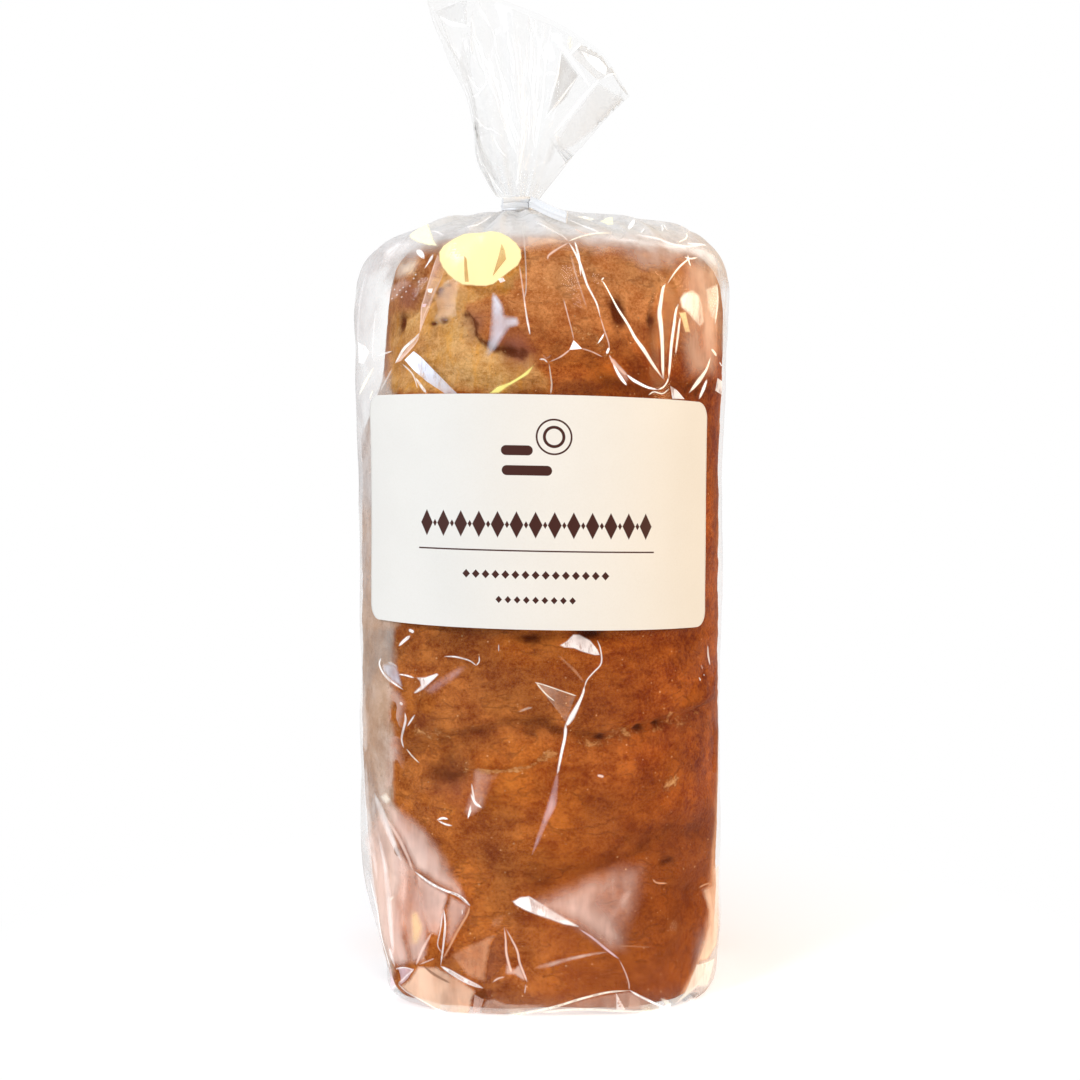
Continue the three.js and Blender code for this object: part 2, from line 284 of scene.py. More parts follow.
def mixShaders(tree, share, a, b):
    return addNode(tree, "MixShader", None, {0: share, 1: a, 2: b}).outputs[0]


def clearSheet(tree):
    return addNode(tree, "BsdfTransparent", None, {"Color": (1, 1, 1, 1)}).outputs[0]


def milkySheet(tree, colour, share):
    # thin film that scatters light back, and a share of it through
    back = addNode(tree, "BsdfDiffuse", None, {"Color": colour}).outputs[0]
    through = addNode(tree, "BsdfTranslucent", None, {"Color": colour}).outputs[0]
    return mixShaders(tree, share, back, through)


def finishShader(tree, shader):
    addNode(tree, "OutputMaterial", None, {0: shader})


def finishPaint(tree, sockets):
    finishShader(tree, addNode(tree, "BsdfPrincipled", None, sockets).outputs[0])


# The bag's shape: its outline from the base to the neck, as the CAD has it

bagShape = {
    "width": 118,
    "depth": 98,
    "tieHeight": 253,
    "neckShift": -7,
    "neckRadius": 5,
    "frontPower": 2.1,
    "footPower": 3.0,
    "footHeight": 42,
    "backPower": 4.0,
    "closing": (0.9, 1),  # as a share of the tie's height
    "neckEnds": (-2.6, 2.8),  # below and above the tie
    "steps": 899,
}

# how high, as a share of the tie's height, and the reach left, right, front and back, each as a share of half
# the bag's width or depth
bagProfile = [
    (0, 0.85, 0.955, 1, 0.88),
    (0.035, 0.86, 0.985, 1.01, 0.94),
    (0.09, 0.935, 1.01, 1.01, 0.97),
    (0.18, 1, 1.012, 1.01, 0.98),
    (0.42, 1.015, 1.015, 1.03, 0.98),
    (0.6, 1.015, 1.025, 1.03, 0.98),
    (0.76, 1.035, 1.045, 1.01, 0.98),
    (0.86, 1.05, 1.06, 0.98, 0.97),
    (0.91, 1, 1.05, 0.92, 0.93),
    (0.945, 0.9, 0.98, 0.78, 0.81),
    (0.967, 0.71, 0.86, 0.59, 0.63),
    (0.982, 0.43, 0.54, 0.36, 0.39),
    (0.989, 0.26, 0.24, 0.19, 0.2),
]


def makeBagTable():
    up, left, right, front, back = smoothLine(bagProfile, bagShape["steps"]).T
    closing = ease(up, *bagShape["closing"])
    middle = bagShape["neckShift"] * closing
    height = up * bagShape["tieHeight"]
    foot = 1 - ease(height, 0, bagShape["footHeight"])
    table = {
        "height": height,
        "middle": middle,
        "left": middle + left * bagShape["width"] / 2,
        "right": right * bagShape["width"] / 2 - middle,
        "front": front * bagShape["depth"] / 2,
        "back": back * bagShape["depth"] / 2,
        "frontPower": blendTo(bagShape["frontPower"], 2, closing)
        + foot * (bagShape["footPower"] - bagShape["frontPower"]),
        "backPower": blendTo(bagShape["backPower"], 2, closing),
    }
    neck = {"middle": bagShape["neckShift"], "frontPower": 2, "backPower": 2}
    for side in ("left", "right", "front", "back"):
        neck[side] = bagShape["neckRadius"]
    for lift in bagShape["neckEnds"]:
        neck["height"] = bagShape["tieHeight"] + lift
        table = {key: np.append(values, neck[key]) for key, values in table.items()}
    steps = np.hypot(np.diff(table["right"]), np.diff(table["height"]))
    table["run"] = np.concatenate([[0], np.cumsum(steps)])
    return table


bagTable = makeBagTable()


def sectionWhere(key, values):
    # the bag's section at given heights or runs
    return {name: np.interp(values, bagTable[key], column) for name, column in bagTable.items()}


def ringPoint(section, angle):
    # a place on a section's smooth outline, by the angle round from the front
    s, c = np.sin(angle), np.cos(angle)
    power = np.where(c > 0, section["frontPower"], section["backPower"])
    reach = np.where(s < 0, section["left"], section["right"])
    depth = np.where(c > 0, section["front"], section["back"])
    across = np.sign(s) * np.abs(s) ** (2 / power)
    along = -np.sign(c) * np.abs(c) ** (2 / power)
    return np.stack([section["middle"] + across * reach, along * depth, section["height"] + 0 * angle], -1)


def ringNormal(section, angle):
    step = 0.004
    tangent = ringPoint(section, angle + step) - ringPoint(section, angle - step)
    return unit(np.stack([tangent[..., 1], -tangent[..., 0], 0 * tangent[..., 0]], -1))


def ringAngles(frontColumns, backColumns):
    # from the left side over the front to the right side, and on over the back
    quarter = math.pi / 2
    front = np.linspace(-quarter, quarter, frontColumns + 1)
    return np.concatenate([front, np.linspace(quarter, 3 * quarter, backColumns + 1)[1:]])


# The loaf

loafShape = {
    "segments": 270,
    "rings": 300,
    "frontShare": 0.6,
    "low": 0.4,
    "high": 238.5,
    "footPower": 30.0,
    "topPower": 13.0,
    "frontPower": 2.25,
    "footFrontPower": 3.5,
    "backPower": 4.2,
    "meanReach": 50,
    "footTop": 35,
    "lumpSize": 27.0,
    "lumpRise": 0.9,
    "bumpSize": 9.0,
    "bumpRise": 0.32,
    "wrinkleSize": 3.0,
    "wrinkleRise": 0.13,
    "stepEdge": 0.9,  # half width of the step from one lobe to the next
    "cornerRise": 0.7,  # the crown's left edge, where it meets the tin's side
    "cornerAt": -33.5,
    "cornerWidth": 2.5,
    "cornerTop": (186, 196),
    "deepest": -4.5,
    "highest": 2.2,
}

# height, and the reach left, right, front and back
loafProfile = [
    (0, 49, 54, 48.4, 42),
    (10, 51.5, 56.5, 48.4, 43),
    (25, 54.5, 58, 48, 44),
    (45, 57.5, 58.9, 47.8, 44.5),
    (85, 59, 59.1, 47.8, 44.5),
    (176, 59, 59.4, 47.4, 44.5),
    (187, 55, 60, 47, 44.5),
    (194, 52.5, 60.5, 47, 44.5),
    (206, 51.3, 61, 46, 44),
    (225, 50.5, 61, 44.5, 43.5),
    (240, 49, 57, 43, 43),
]

# joints between the lobes of dough: depth and width of the groove, how far the side above it stands out and
# over what reach, and the line across and up
loafSeams = [
    (1.1, 2.0, 1.0, 9, [(-43.5, 77.9), (-30.5, 81.3), (-12, 88.4), (1.5, 88.5), (10.5, 83.6)]),
    (2.3, 1.5, 0.8, 10, [(8, 84.5), (18.1, 82.7), (30.4, 85.6), (38.5, 86.7), (56.8, 89.9)]),
    (0.5, 1.0, 1.0, 6, [(-30, 69), (-19.8, 73.3), (-12.5, 73.6), (-3.7, 74.8), (4.9, 79.7)]),
    (2.4, 5.5, 0.5, 12, [(-8, 40), (6, 39.3), (18.1, 42.7), (30.5, 46.8), (40.8, 51.9), (57, 49.9)]),
    (0.9, 1.4, 0.4, 5, [(35.3, 37.4), (46, 33.5), (57.1, 29.2)]),
    (1.0, 2.4, 0.3, 7, [(-44, 118), (-20, 114.5), (-3, 114), (15, 115), (40, 112), (57, 114)]),
    (1.8, 4, 0.3, 8, [(-46, 197), (-30, 193), (-8, 186), (4, 184)]),
    (1.2, 4, 0.3, 8, [(-3, 199.6), (8, 196), (24, 197), (40, 192), (56, 190)]),
    (0.7, 1.5, 0.9, 6, [(-7.5, 218.5), (-23.4, 214.6), (-17.8, 204.3), (-12.1, 200.3), (-3, 199.6)]),
    (1.9, 1.3, 0.3, 5, [(-29.3, 219.2), (-36, 216.5), (-42.9, 212.2)]),
    (1.4, 3, 0, 5, [(-33, 236), (-31, 226), (-29.3, 219.2)]),
    (-0.9, 4.5, 0, 5, [(-16, 104), (-26, 98), (-37, 90)]),
    (0.8, 4, 0.2, 8, [(10, 60), (26, 62), (44, 67), (57, 66)]),
    (1.0, 4, 0.2, 8, [(-40, 52), (-24, 47), (-8, 40)]),
    (2.5, 5, 0, 5, [(-52, 158), (0, 163), (56, 160)]),
]

# where the lower right end turns away to the side
loafTurn = [
    (80, 97), (58.4, 97), (57.6, 70), (56.4, 50), (54.2, 36), (52.9, 26), (50.9, 16),
    (47.7, 9.3), (44.3, 4.7), (40.5, 0), (36, -9), (80, -9),
]

# hollows: place, half width and height, depth
loafHollows = [
    (-27.5, 71, 7, 5, 1.7),
    (39.5, 42, 3, 2.4, 2.4),
    (18.3, 83.2, 1.3, 1.1, 1.6),
    (30.4, 85.4, 1.5, 1.1, 1.6),
    (36.8, 86.2, 1.2, 1.0, 1.4),
    (23.6, 212.4, 1.9, 4.4, 1.5),
    (34.4, 210.1, 1.5, 2.2, 1.2),
    (-3, 113, 3.4, 1.4, 1.8),
    (15, 115, 3.6, 1.6, 2.6),
    (-44, 211, 1.4, 3.6, 1.2),
    (-29.9, 210.3, 1.5, 0.9, 1.0),
    (-33.4, 209.6, 1.2, 0.8, 0.9),
    (-29, 206.9, 1.4, 0.8, 1.0),
    (-38.5, 223.5, 1.0, 2.2, 1.0),
    (12, 203, 8, 6, -0.7),
    (-39, 226, 6, 8, -1.3),
    (-34, 64, 6, 4, -0.8),
    (40.5, 67.5, 2.6, 2.2, -0.7),
]

# the upper left end, which is golden
goldenEnd = [
    (-60, 190), (-31, 188), (-6, 187), (4, 190), (-3, 199), (-12, 200.5), (-18, 204.5), (-23.5, 214.6),
    (-8, 219), (-6, 226), (-20, 234), (-34, 225), (-36, 216), (-60, 214),
]

# deep brown, pale and plum marks: tone, strength, edge, size and places. One number as size is a stripe's
# half width, and two are the half width and height of spots, one at each place. The deep brown marks are
# painted shade in the grooves and hollows, partly the crust's own darker joints, and a painted shadow under
# the label.
crustMarks = [
    ("deep", 0.4, "ragged", 2.4, [(-32, 82), (-12, 87.4), (1.5, 87.6), (9, 83)]),
    ("deep", 0.3, "even", 5, [(-38, 77), (-22, 80), (-6, 84), (4, 85), (20, 80), (56, 86)]),
    ("deep", 0.45, "ragged", 4, [(-8, 41), (18, 44), (30.5, 48), (41, 52.4), (57, 50)]),
    # a painted shadow of the label, over a seam
    ("deep", 0.3, "ragged", 1.2, [(-44, 118), (-20, 115), (15, 115), (57, 114.5)]),
    # painted shade in two hollows
    ("deep", 0.75, "ragged", (7.5, 5.5), [(-28, 71)]),
    ("deep", 0.9, "ragged", (3.2, 1.9), [(39.5, 42.6)]),
    ("deep", 0.5, "ragged", 1.1, [(-29.3, 219.2), (-36, 216.5), (-42.9, 212.2)]),
    ("deep", 0.85, "ragged", 1.3, [(-23.6, 214), (-18, 204), (-12, 200), (-3, 199.4)]),
    ("deep", 0.45, "even", 2.2, [(19.6, 218.6), (23.5, 212.5), (27.4, 207.4)]),
    ("deep", 0.7, "even", 0.8, [(-33, 219.4), (-30, 221.2), (-27.4, 222)]),
    ("deep", 0.3, "ragged", 4, [(5, 212), (14, 204), (26, 199)]),
    ("deep", 0.6, "ragged", 5, [(-3, 184), (20, 190), (44, 190), (57, 188)]),
    # a painted highlight: the pale lower rim of the flap, and a brighter spot where it is lit most
    ("pale", 1.25, "even", 0.95, [(-19.8, 72.6), (-12.5, 72.9), (-3.7, 74.1), (4.9, 79.0)]),
    ("pale", 1.1, "even", (3.2, 1.8), [(2.4, 78.6)]),
    ("pale", 0.68, "ragged", 1.7, [(8, 81.8), (18, 81.2), (30, 83.6), (44, 86), (58, 91)]),
    ("pale", 0.6, "ragged", 1.6, [(-44, 82), (-36, 84.5), (-30, 83), (-18, 87)]),
    ("pale", 0.95, "ragged", (2.6, 2.0), [(40.7, 67.6)]),
    ("pale", 1.1, "ragged", (4.2, 3.6), [(-41.5, 227.6)]),
    ("pale", 0.7, "ragged", (2.6, 2.6), [(-22, 73.5)]),
    ("pale", 0.7, "ragged", 2.2, [(9.5, 208.4), (15, 204.5), (21.5, 199)]),
    ("pale", 1.0, "even", (0.7, 0.6), [(20.5, 29), (7.5, 23.8), (1.4, 49), (36, 64), (45, 100)]),
    ("pale", 1.0, "even", (0.7, 0.6), [(-28, 83), (-36, 84), (-33.5, 78)]),
    ("pale", 0.8, "ragged", (1.3, 0.9), [(15.4, 82), (21.6, 84.2), (25.4, 84.4), (27.2, 86.6)]),
    ("pale", 0.8, "ragged", (1.3, 0.9), [(33.2, 87.8), (39.8, 87.6), (44, 88.6)]),
    ("plum", 0.9, "ragged", (5.5, 5), [(-7.5, 200.5)]),
    ("plum", 0.7, "ragged", (3.6, 4.2), [(-20, 209)]),
    ("plum", 0.75, "ragged", (5, 4.5), [(-42.5, 219.5)]),
    # painted shade in the hollow at the lower left
    ("plum", 0.5, "ragged", (6, 5), [(-25, 68)]),
]

crustPaint = {
    "raggedSize": 6.0,
    "raggedShift": 2.2,
    "wideSize": 17.0,
    "goldenEdge": (-1.2, 1.8),
    # the hollows that are painted darker too, as shade in them, and how far that shade spreads
    "darkHollows": slice(2, 12),
    "hollowSpread": 1.2,
    "crumbly": [(-45, 219, 5, 6, 0.1), (-32, 62, 12, 6, 0.2)],  # place, half size, and where the crumbs start
    "crumblyShare": 0.5,
    "leftRim": -34.5,  # how far forward the dull sides reach
    "leftRimTop": 22,
    "rightRim": -13.0,
    "rimRise": (184, 198),
    "turnEdge": (-0.7, 1.6),
    "topEnd": (231, 238),
    "edgeHighlight": 0.55,  # a painted highlight, the pale line where the crown meets the left side
    "edgeHighlightAt": -34.2,
    "edgeHighlightWidth": 1.1,
}


def loafReach(height):
    rows = np.array(loafProfile, float)
    return [np.interp(height, rows[:, 0], rows[:, k]) for k in range(1, 5)]


def spot(x, z, px, pz, wide, high):
    return np.exp(-(((x - px) / wide) ** 2) - ((z - pz) / high) ** 2)


def stripe(x, z, line, width):
    away, _, share = nearLine(x, z, line)
    return np.exp(-((away / width) ** 2)) * fadeEnds(share, 0.08)


def loafRelief(x, z):
    rise = np.zeros(x.shape)
    for depth, width, step, reach, line in loafSeams:
        away, side, share = nearLine(x, z, line)
        ends = fadeEnds(share, 0.1)
        rise -= depth * np.exp(-((away / width) ** 2)) * ends
        signed = np.tanh(side * away / loafShape["stepEdge"])
        rise += step * signed * np.exp(-((away / reach) ** 2)) * ends
    for px, pz, wide, high, deep in loafHollows:
        rise -= deep * spot(x, z, px, pz, wide, high)
    return rise


def crustTone(name, places):
    # the strength of one tone's marks, over even and ragged places
    total = 0
    for kind, strength, edge, size, points in crustMarks:
        if kind != name:
            continue
        x, z = places[edge]
        if isinstance(size, tuple):
            for px, pz in points:
                total = total + strength * spot(x, z, px, pz, *size)
        else:
            total = total + strength * stripe(x, z, points, size)
    return total


def paintLoaf(piece, base, facing):
    # where the crust is golden, deep brown, pale, plum, or the dull colour of the tin's side; the deep brown
    # is painted shade in grooves and hollows, partly darker crust, and some pale and plum marks are painted
    # highlights and shade
    paint = crustPaint
    x, y, z = base.T
    ragged = roughNoise(base, paint["raggedSize"], 4, 3.1)
    raggedUp = roughNoise(base, paint["raggedSize"], 3, 21.0)
    shift = paint["raggedShift"]
    places = {"even": (x, z), "ragged": (x + shift * ragged, z + shift * raggedUp)}
    golden = ease(insideOutline(*places["ragged"], goldenEnd), *paint["goldenEdge"]) * facing
    golden *= 0.75 + 0.5 * roughNoise(base, paint["wideSize"], 3, 8.4)
    deep = crustTone("deep", places)
    # painted shade in the hollows
    for px, pz, wide, high, _ in loafHollows[paint["darkHollows"]]:
        deep += spot(x, z, px, pz, wide * paint["hollowSpread"], high * paint["hollowSpread"])
    pale = crustTone("pale", places)
    for px, pz, wide, high, start in paint["crumbly"]:
        pale += paint["crumblyShare"] * ease(ragged, start, start + 0.4) * spot(x, z, px, pz, wide, high)
    left = x < 0
    rim = np.where(left, paint["leftRim"], paint["rightRim"])
    rim += paint["leftRimTop"] * ease(z, *paint["rimRise"]) * left
    flank = ease(y + 1.6 * ragged, rim, rim + np.where(left, 2.2, 9.0))
    turned = insideOutline(x + 0.5 * ragged, z, loafTurn)
    flank = np.maximum(flank, ease(turned, *paint["turnEdge"]) * (y < 10))
    flank = np.maximum(flank, ease(z, *paint["topEnd"]))
    # a painted highlight along the edge where the crown meets the left side
    edgeHighlight = np.exp(-(((y - paint["edgeHighlightAt"]) / paint["edgeHighlightWidth"]) ** 2)) * left
    edgeHighlight *= (1 - ease(z, *loafShape["cornerTop"])) * ease(z, 60, 90)
    writeNumbers(piece, "golden", golden)
    writeNumbers(piece, "deep", deep * facing)
    writeNumbers(piece, "pale", pale * facing + paint["edgeHighlight"] * edgeHighlight)
    writeNumbers(piece, "plum", crustTone("plum", places) * facing)
    writeNumbers(piece, "flank", flank)


def makeLoaf():
    shape = loafShape
    clearSelection()
    bpy.ops.mesh.primitive_uv_sphere_add(segments=shape["segments"], ring_count=shape["rings"], radius=1)
    piece = bpy.context.object
    piece.name = piece.data.name = "loaf"
    ball = readPoints(piece)
    # more of the ball's columns go to the front, and more of its rings to the rounded ends
    spin = np.arctan2(ball[:, 0], -ball[:, 1]) / (2 * math.pi) + 0.5
    sides = [0, (1 - shape["frontShare"]) / 2, (1 + shape["frontShare"]) / 2, 1]
    angle = np.interp(spin, sides, [-math.pi, -math.pi / 2, math.pi / 2, math.pi])
    share = np.arccos(np.clip(-ball[:, 2], -1, 1)) / math.pi
    half = (shape["high"] - shape["low"]) / 2
    turn = np.linspace(-math.pi / 2, math.pi / 2, 4001)
    power = np.where(turn < 0, shape["footPower"], shape["topPower"])
    up = np.sign(turn) * np.abs(np.sin(turn)) ** (2 / power)
    out = np.abs(np.cos(turn)) ** (2 / power)
    walk = np.concatenate([[0], np.cumsum(np.hypot(np.diff(up) * half, np.diff(out) * shape["meanReach"]))])
    up = np.interp(share, walk / walk[-1], up)
    out = np.interp(share, walk / walk[-1], out)
    height = shape["low"] + half * (1 + up)
    left, right, ahead, behind = loafReach(height)
    powers = [shape["footFrontPower"], shape["frontPower"]]
    section = {
        "height": height,
        "middle": 0 * height,
        "left": left * out,
        "right": right * out,
        "front": ahead * out,
        "back": behind * out,
        "frontPower": np.interp(height, [0, shape["footTop"]], powers),
        "backPower": shape["backPower"],
    }
    base = ringPoint(section, angle)
    writePoints(piece, base)
    pick(piece)
    bpy.ops.object.shade_smooth()
    outward = readPoints(piece, "normal")
    facing = ease(-outward[:, 1], 0.15, 0.6)
    x, y, z = base.T
    rise = loafRelief(x, z) * facing
    rise += shape["lumpRise"] * roughNoise(base, shape["lumpSize"], 2) * (0.4 + 0.6 * facing)
    rise += shape["bumpRise"] * roughNoise(base, shape["bumpSize"], 3, 5.0)
    flat = base * np.array([0.45, 0.45, 1.0])
    rise += shape["wrinkleRise"] * roughNoise(flat, shape["wrinkleSize"], 3, 9.0)
    corner = np.exp(-(((y - shape["cornerAt"]) / shape["cornerWidth"]) ** 2)) * (x < 0)
    rise += shape["cornerRise"] * corner * (1 - ease(z, *shape["cornerTop"]))
    paintLoaf(piece, base, facing)
    writePoints(piece, base + outward * np.clip(rise, shape["deepest"], shape["highest"])[:, None])
    return piece


# colours as they look on a screen: a dark and a light one where the crust is mottled, or one alone. Deep is
# painted shade in grooves and hollows, partly darker crust; crease and pore are painted shade in creases and
# pits;
# plum is partly painted shade; tinUpper is a painted light.
crustColours = {
    "left": [(128, 52, 0), (204, 122, 56)],
    "middle": [(142, 58, 0), (208, 120, 44)],
    "right": [(120, 38, 0), (200, 104, 34)],
    "top": [(164, 88, 34), (220, 154, 96)],
    "golden": [(196, 134, 60), (248, 202, 136)],
    "tin": [(228, 202, 184), (150, 108, 82)],
    "tinRight": [(198, 132, 88), (230, 172, 130)],
    "baked": [(176, 104, 50), (222, 162, 104)],
    "crumb": [(196, 120, 56), (236, 182, 122)],
    "low": (122, 58, 14),
    "fibre": (238, 168, 66),
    "tinUpper": (228, 214, 206),
    "tinBroad": (208, 164, 128),
    "tinEnd": (224, 214, 206),
    "plum": (152, 90, 70),
    "deep": (96, 38, 2),
    "crease": (96, 40, 6),
    "speck": (236, 180, 124),
    "pore": (88, 36, 4),
}


def crustMaterial():
    material, tree = newMaterial("browned_crust")
    place = objectPlace(tree)
    side = addNode(tree, "SeparateXYZ", None, {0: place}).outputs
    creased = drawnOut(tree, place, (0.4, 1.0, 1.0), 0.3)
    broad = cloud(tree, place, 34, 4, 0.55)
    middle = cloud(tree, place, 10, 8, 0.66)
    fine = cloud(tree, place, 0.9, 5, 0.8)
    fibre = cloud(tree, drawnOut(tree, place, (1.0, 1.0, 0.35)), 2.6, 5, 0.7)
    wrinkle = cloud(tree, creased, 3.0, 5, 0.65)
    ragged = minus(tree, cloud(tree, place, 1.7, 6, 0.75), 0.5)
    mottle = plus(tree, times(tree, middle, 0.38), times(tree, wrinkle, 0.24))
    mottle = plus(tree, mottle, times(tree, fine, 0.38))
    light = stretch(tree, mottle, 0.38, 0.62)

    def mottled(name, share=light):
        dark, bright = crustColours[name]
        return mixTones(tree, share, tone(*dark), tone(*bright))

    def laidOn(under, share, over):
        if isinstance(over, str):
            over = tone(*crustColours[over])
        return mixTones(tree, share, under, over)

    # thin creases where a slanting noise passes its middle value, pressed in by the bump and painted darker
    # as shade in them
    folded = cloud(tree, creased, 8.0, 3, 0.55)
    crease = stretch(tree, maths(tree, "ABSOLUTE", minus(tree, folded, 0.5)), 0.03, 0.0)
    crease = times(tree, crease, stretch(tree, middle, 0.42, 0.6))
    crease = times(tree, crease, stretch(tree, painted(tree, "flank"), 0.0, 0.5, 1.0, 0.15))
    crease = times(tree, crease, stretch(tree, painted(tree, "golden"), 0.0, 1.0, 1.0, 0.35))

    # the crown, redder to the right and paler at the top
    colour = laidOn(mottled("left"), stretch(tree, broad, 0.4, 0.62), mottled("middle"))
    colour = laidOn(colour, stretch(tree, side["X"], -0.01, 0.04, 0, 0.85), mottled("right"))
    colour = laidOn(colour, stretch(tree, side["Z"], 0.193, 0.224), mottled("top"))
    patches = stretch(tree, cloud(tree, place, 19, 3, 0.5), 0.36, 0.64, 0.82, 1.1)
    colour = mixTones(tree, 1.0, colour, greyOf(tree, patches), "MULTIPLY")
    low = times(tree, stretch(tree, side["Z"], 0.08, 0.035), stretch(tree, side["X"], -0.012, 0.02))
    colour = laidOn(colour, times(tree, low, 0.5), "low")
    golden = laidOn(mottled("golden"), stretch(tree, fibre, 0.45, 0.7, 0, 0.7), "fibre")
    colour = laidOn(colour, painted(tree, "golden"), golden)

    # the dull sides and the golden back, which baked against the tin
    tin = mottled("tin", stretch(tree, middle, 0.34, 0.66))
    # paler higher up the side, a painted light
    tin = laidOn(tin, stretch(tree, side["Z"], 0.105, 0.165, 0, 0.6), "tinUpper")
    tin = laidOn(tin, stretch(tree, broad, 0.42, 0.62, 0, 0.6), "tinBroad")
    tin = laidOn(tin, stretch(tree, side["X"], 0.0, 0.03), mottled("tinRight"))
    tin = laidOn(tin, stretch(tree, side["Y"], -0.002, 0.016), mottled("baked"))
    tin = laidOn(tin, stretch(tree, side["Z"], 0.2358, 0.2375), "tinEnd")
    colour = laidOn(colour, painted(tree, "flank"), tin)

    # marks, creases and crumbs: the deep brown marks are painted shade, partly darker crust, the creases are
    # painted darker as shade in them, and some crumbs are painted highlights along the flap's rim and the
    # crown's edge
    colour = laidOn(colour, painted(tree, "plum"), "plum")
    deep = plus(tree, painted(tree, "deep"), times(tree, ragged, 0.6))
    colour = laidOn(colour, stretch(tree, deep, 0.15, 1.0), "deep")
    colour = laidOn(colour, times(tree, crease, 0.4), "crease")
    crumbs = stretch(tree, plus(tree, painted(tree, "pale"), times(tree, ragged, 2.4)), 0.55, 1.05)
    colour = laidOn(colour, crumbs, mottled("crumb"))

    # pale specks, and dark pores that the bump presses in and that are painted darker as shade in them
    cells = addNode(tree, "TexVoronoi", None, {"Vector": place, "Scale": 760.0})
    chosen = addNode(tree, "SeparateColor", None, {0: cells.outputs["Color"]}).outputs
    near = plus(tree, cells.outputs["Distance"], times(tree, chosen[2], 0.14))
    near = stretch(tree, plus(tree, near, times(tree, ragged, 0.5)), 0.3, 0.12)
    speck = times(tree, near, stretch(tree, chosen[0], 0.8, 1.0))
    colour = laidOn(colour, times(tree, speck, 0.8), "speck")
    pore = times(tree, near, stretch(tree, chosen[1], 0.7, 0.8))
    colour = laidOn(colour, times(tree, pore, 0.45), "pore")

    relief = plus(tree, mottle, times(tree, wrinkle, 0.8))
    relief = minus(tree, relief, times(tree, pore, 0.15))
    relief = minus(tree, relief, times(tree, crease, 0.18))
    relief = plus(tree, relief, times(tree, crumbs, 0.3))
    finishPaint(tree, {
        "Base Color": colour,
        "Roughness": stretch(tree, middle, 0.3, 0.7, 0.42, 0.62),
        "Normal": bumps(tree, relief, 0.6, 0.0018),
        "Specular IOR Level": 0.08,
    })
    return material


loaf = makeLoaf()
finishPiece(loaf, crustMaterial(), "bag")
print("loaf:", len(loaf.data.polygons), "faces")

# The film round the loaf

filmShape = {
    "frontColumns": 290,
    "backColumns": 110,
    "rows": 310,
    "baseRows": 24,
    "seed": 11,
    "tries": 9000,
    "waveSize": 24.0,
    "waveRise": 0.5,
    "lowest": -1.5,
    "pleats": 23,
    "pleatDepth": 0.09,  # as a share of the reach from the neck
    "finePleats": 37,
    "finePleatDepth": 0.05,
    "pleatsFrom": (228, 249),
    "pleatReach": 26,
}

# milky places: how milky each one is, and between which places it fades in or out
filmHaze = {
    "patches": 0.005,
    "seen": (2, 16),
    "lowLeft": 0.3,
    "lowLeftEdge": (40, 50),
    "lowLeftTop": (52, 95),
    "strip": 0.1,
    "stripEdge": (45, 54),
    "stripUpper": 0.45,
    "stripUpperFrom": (105, 165),
    "stripLower": 0.24,
    "stripLowerTo": (56, 78),
    "foot": 0.05,
    "footTop": (2, 9),
    "shoulder": 0.92,
    "shoulderFrom": (230, 240.5),
    "shoulderTop": (243, 249),
    "rightRim": 0.06,
    "rightRimEdge": (55, 61),
    "lowRight": 0.55,
    "lowRightEdge": (45, 53),
    "lowRightTop": (10, 26),
}

labelPlace = {
    "width": 120.0,
    "height": 70.5,
    "middle": 151.5,
    "shift": -1.3,
    "tilt": 0.02,
    "corner": 5.0,
    "lift": 0.8,
    "thickness": 0.3,
    "girthHeight": 127.0,  # where the distance round the bag is measured
    "sideStart": -21,  # how far back the film lies smooth behind it
}

# distances round the bag from the middle of its front
roundAngles = np.linspace(-math.pi, math.pi, 2001)
roundSection = {key: float(v) for key, v in sectionWhere("height", labelPlace["girthHeight"]).items()}
roundPoints = ringPoint(roundSection, roundAngles)
roundRuns = np.concatenate([[0], np.cumsum(np.linalg.norm(np.diff(roundPoints, axis=0), axis=1))])
roundRuns -= roundRuns[len(roundRuns) // 2]
roundHalf = roundRuns[-1]


def crumpleAt(side, up):
    # how far apart the corners of the crumpled facets are, and how far they stand in and out
    x = np.abs(side)
    spacing, rise = 24.0, 0.55
    if x > 62:
        spacing, rise = 14.0, 0.9
    if 46 < x <= 62:
        spacing, rise = 9.0, 0.8
    if up < 48:
        spacing, rise = min(spacing, 14.0), max(rise, 0.9)
        if side < -22:
            spacing, rise = 10.5, 1.8
    if up > 222:
        spacing, rise = 8.0, 0.9
    if up > 262:
        spacing, rise = 5.5, 0.7
    if up < 8:
        spacing, rise = 6.0, 0.9
    return spacing, rise


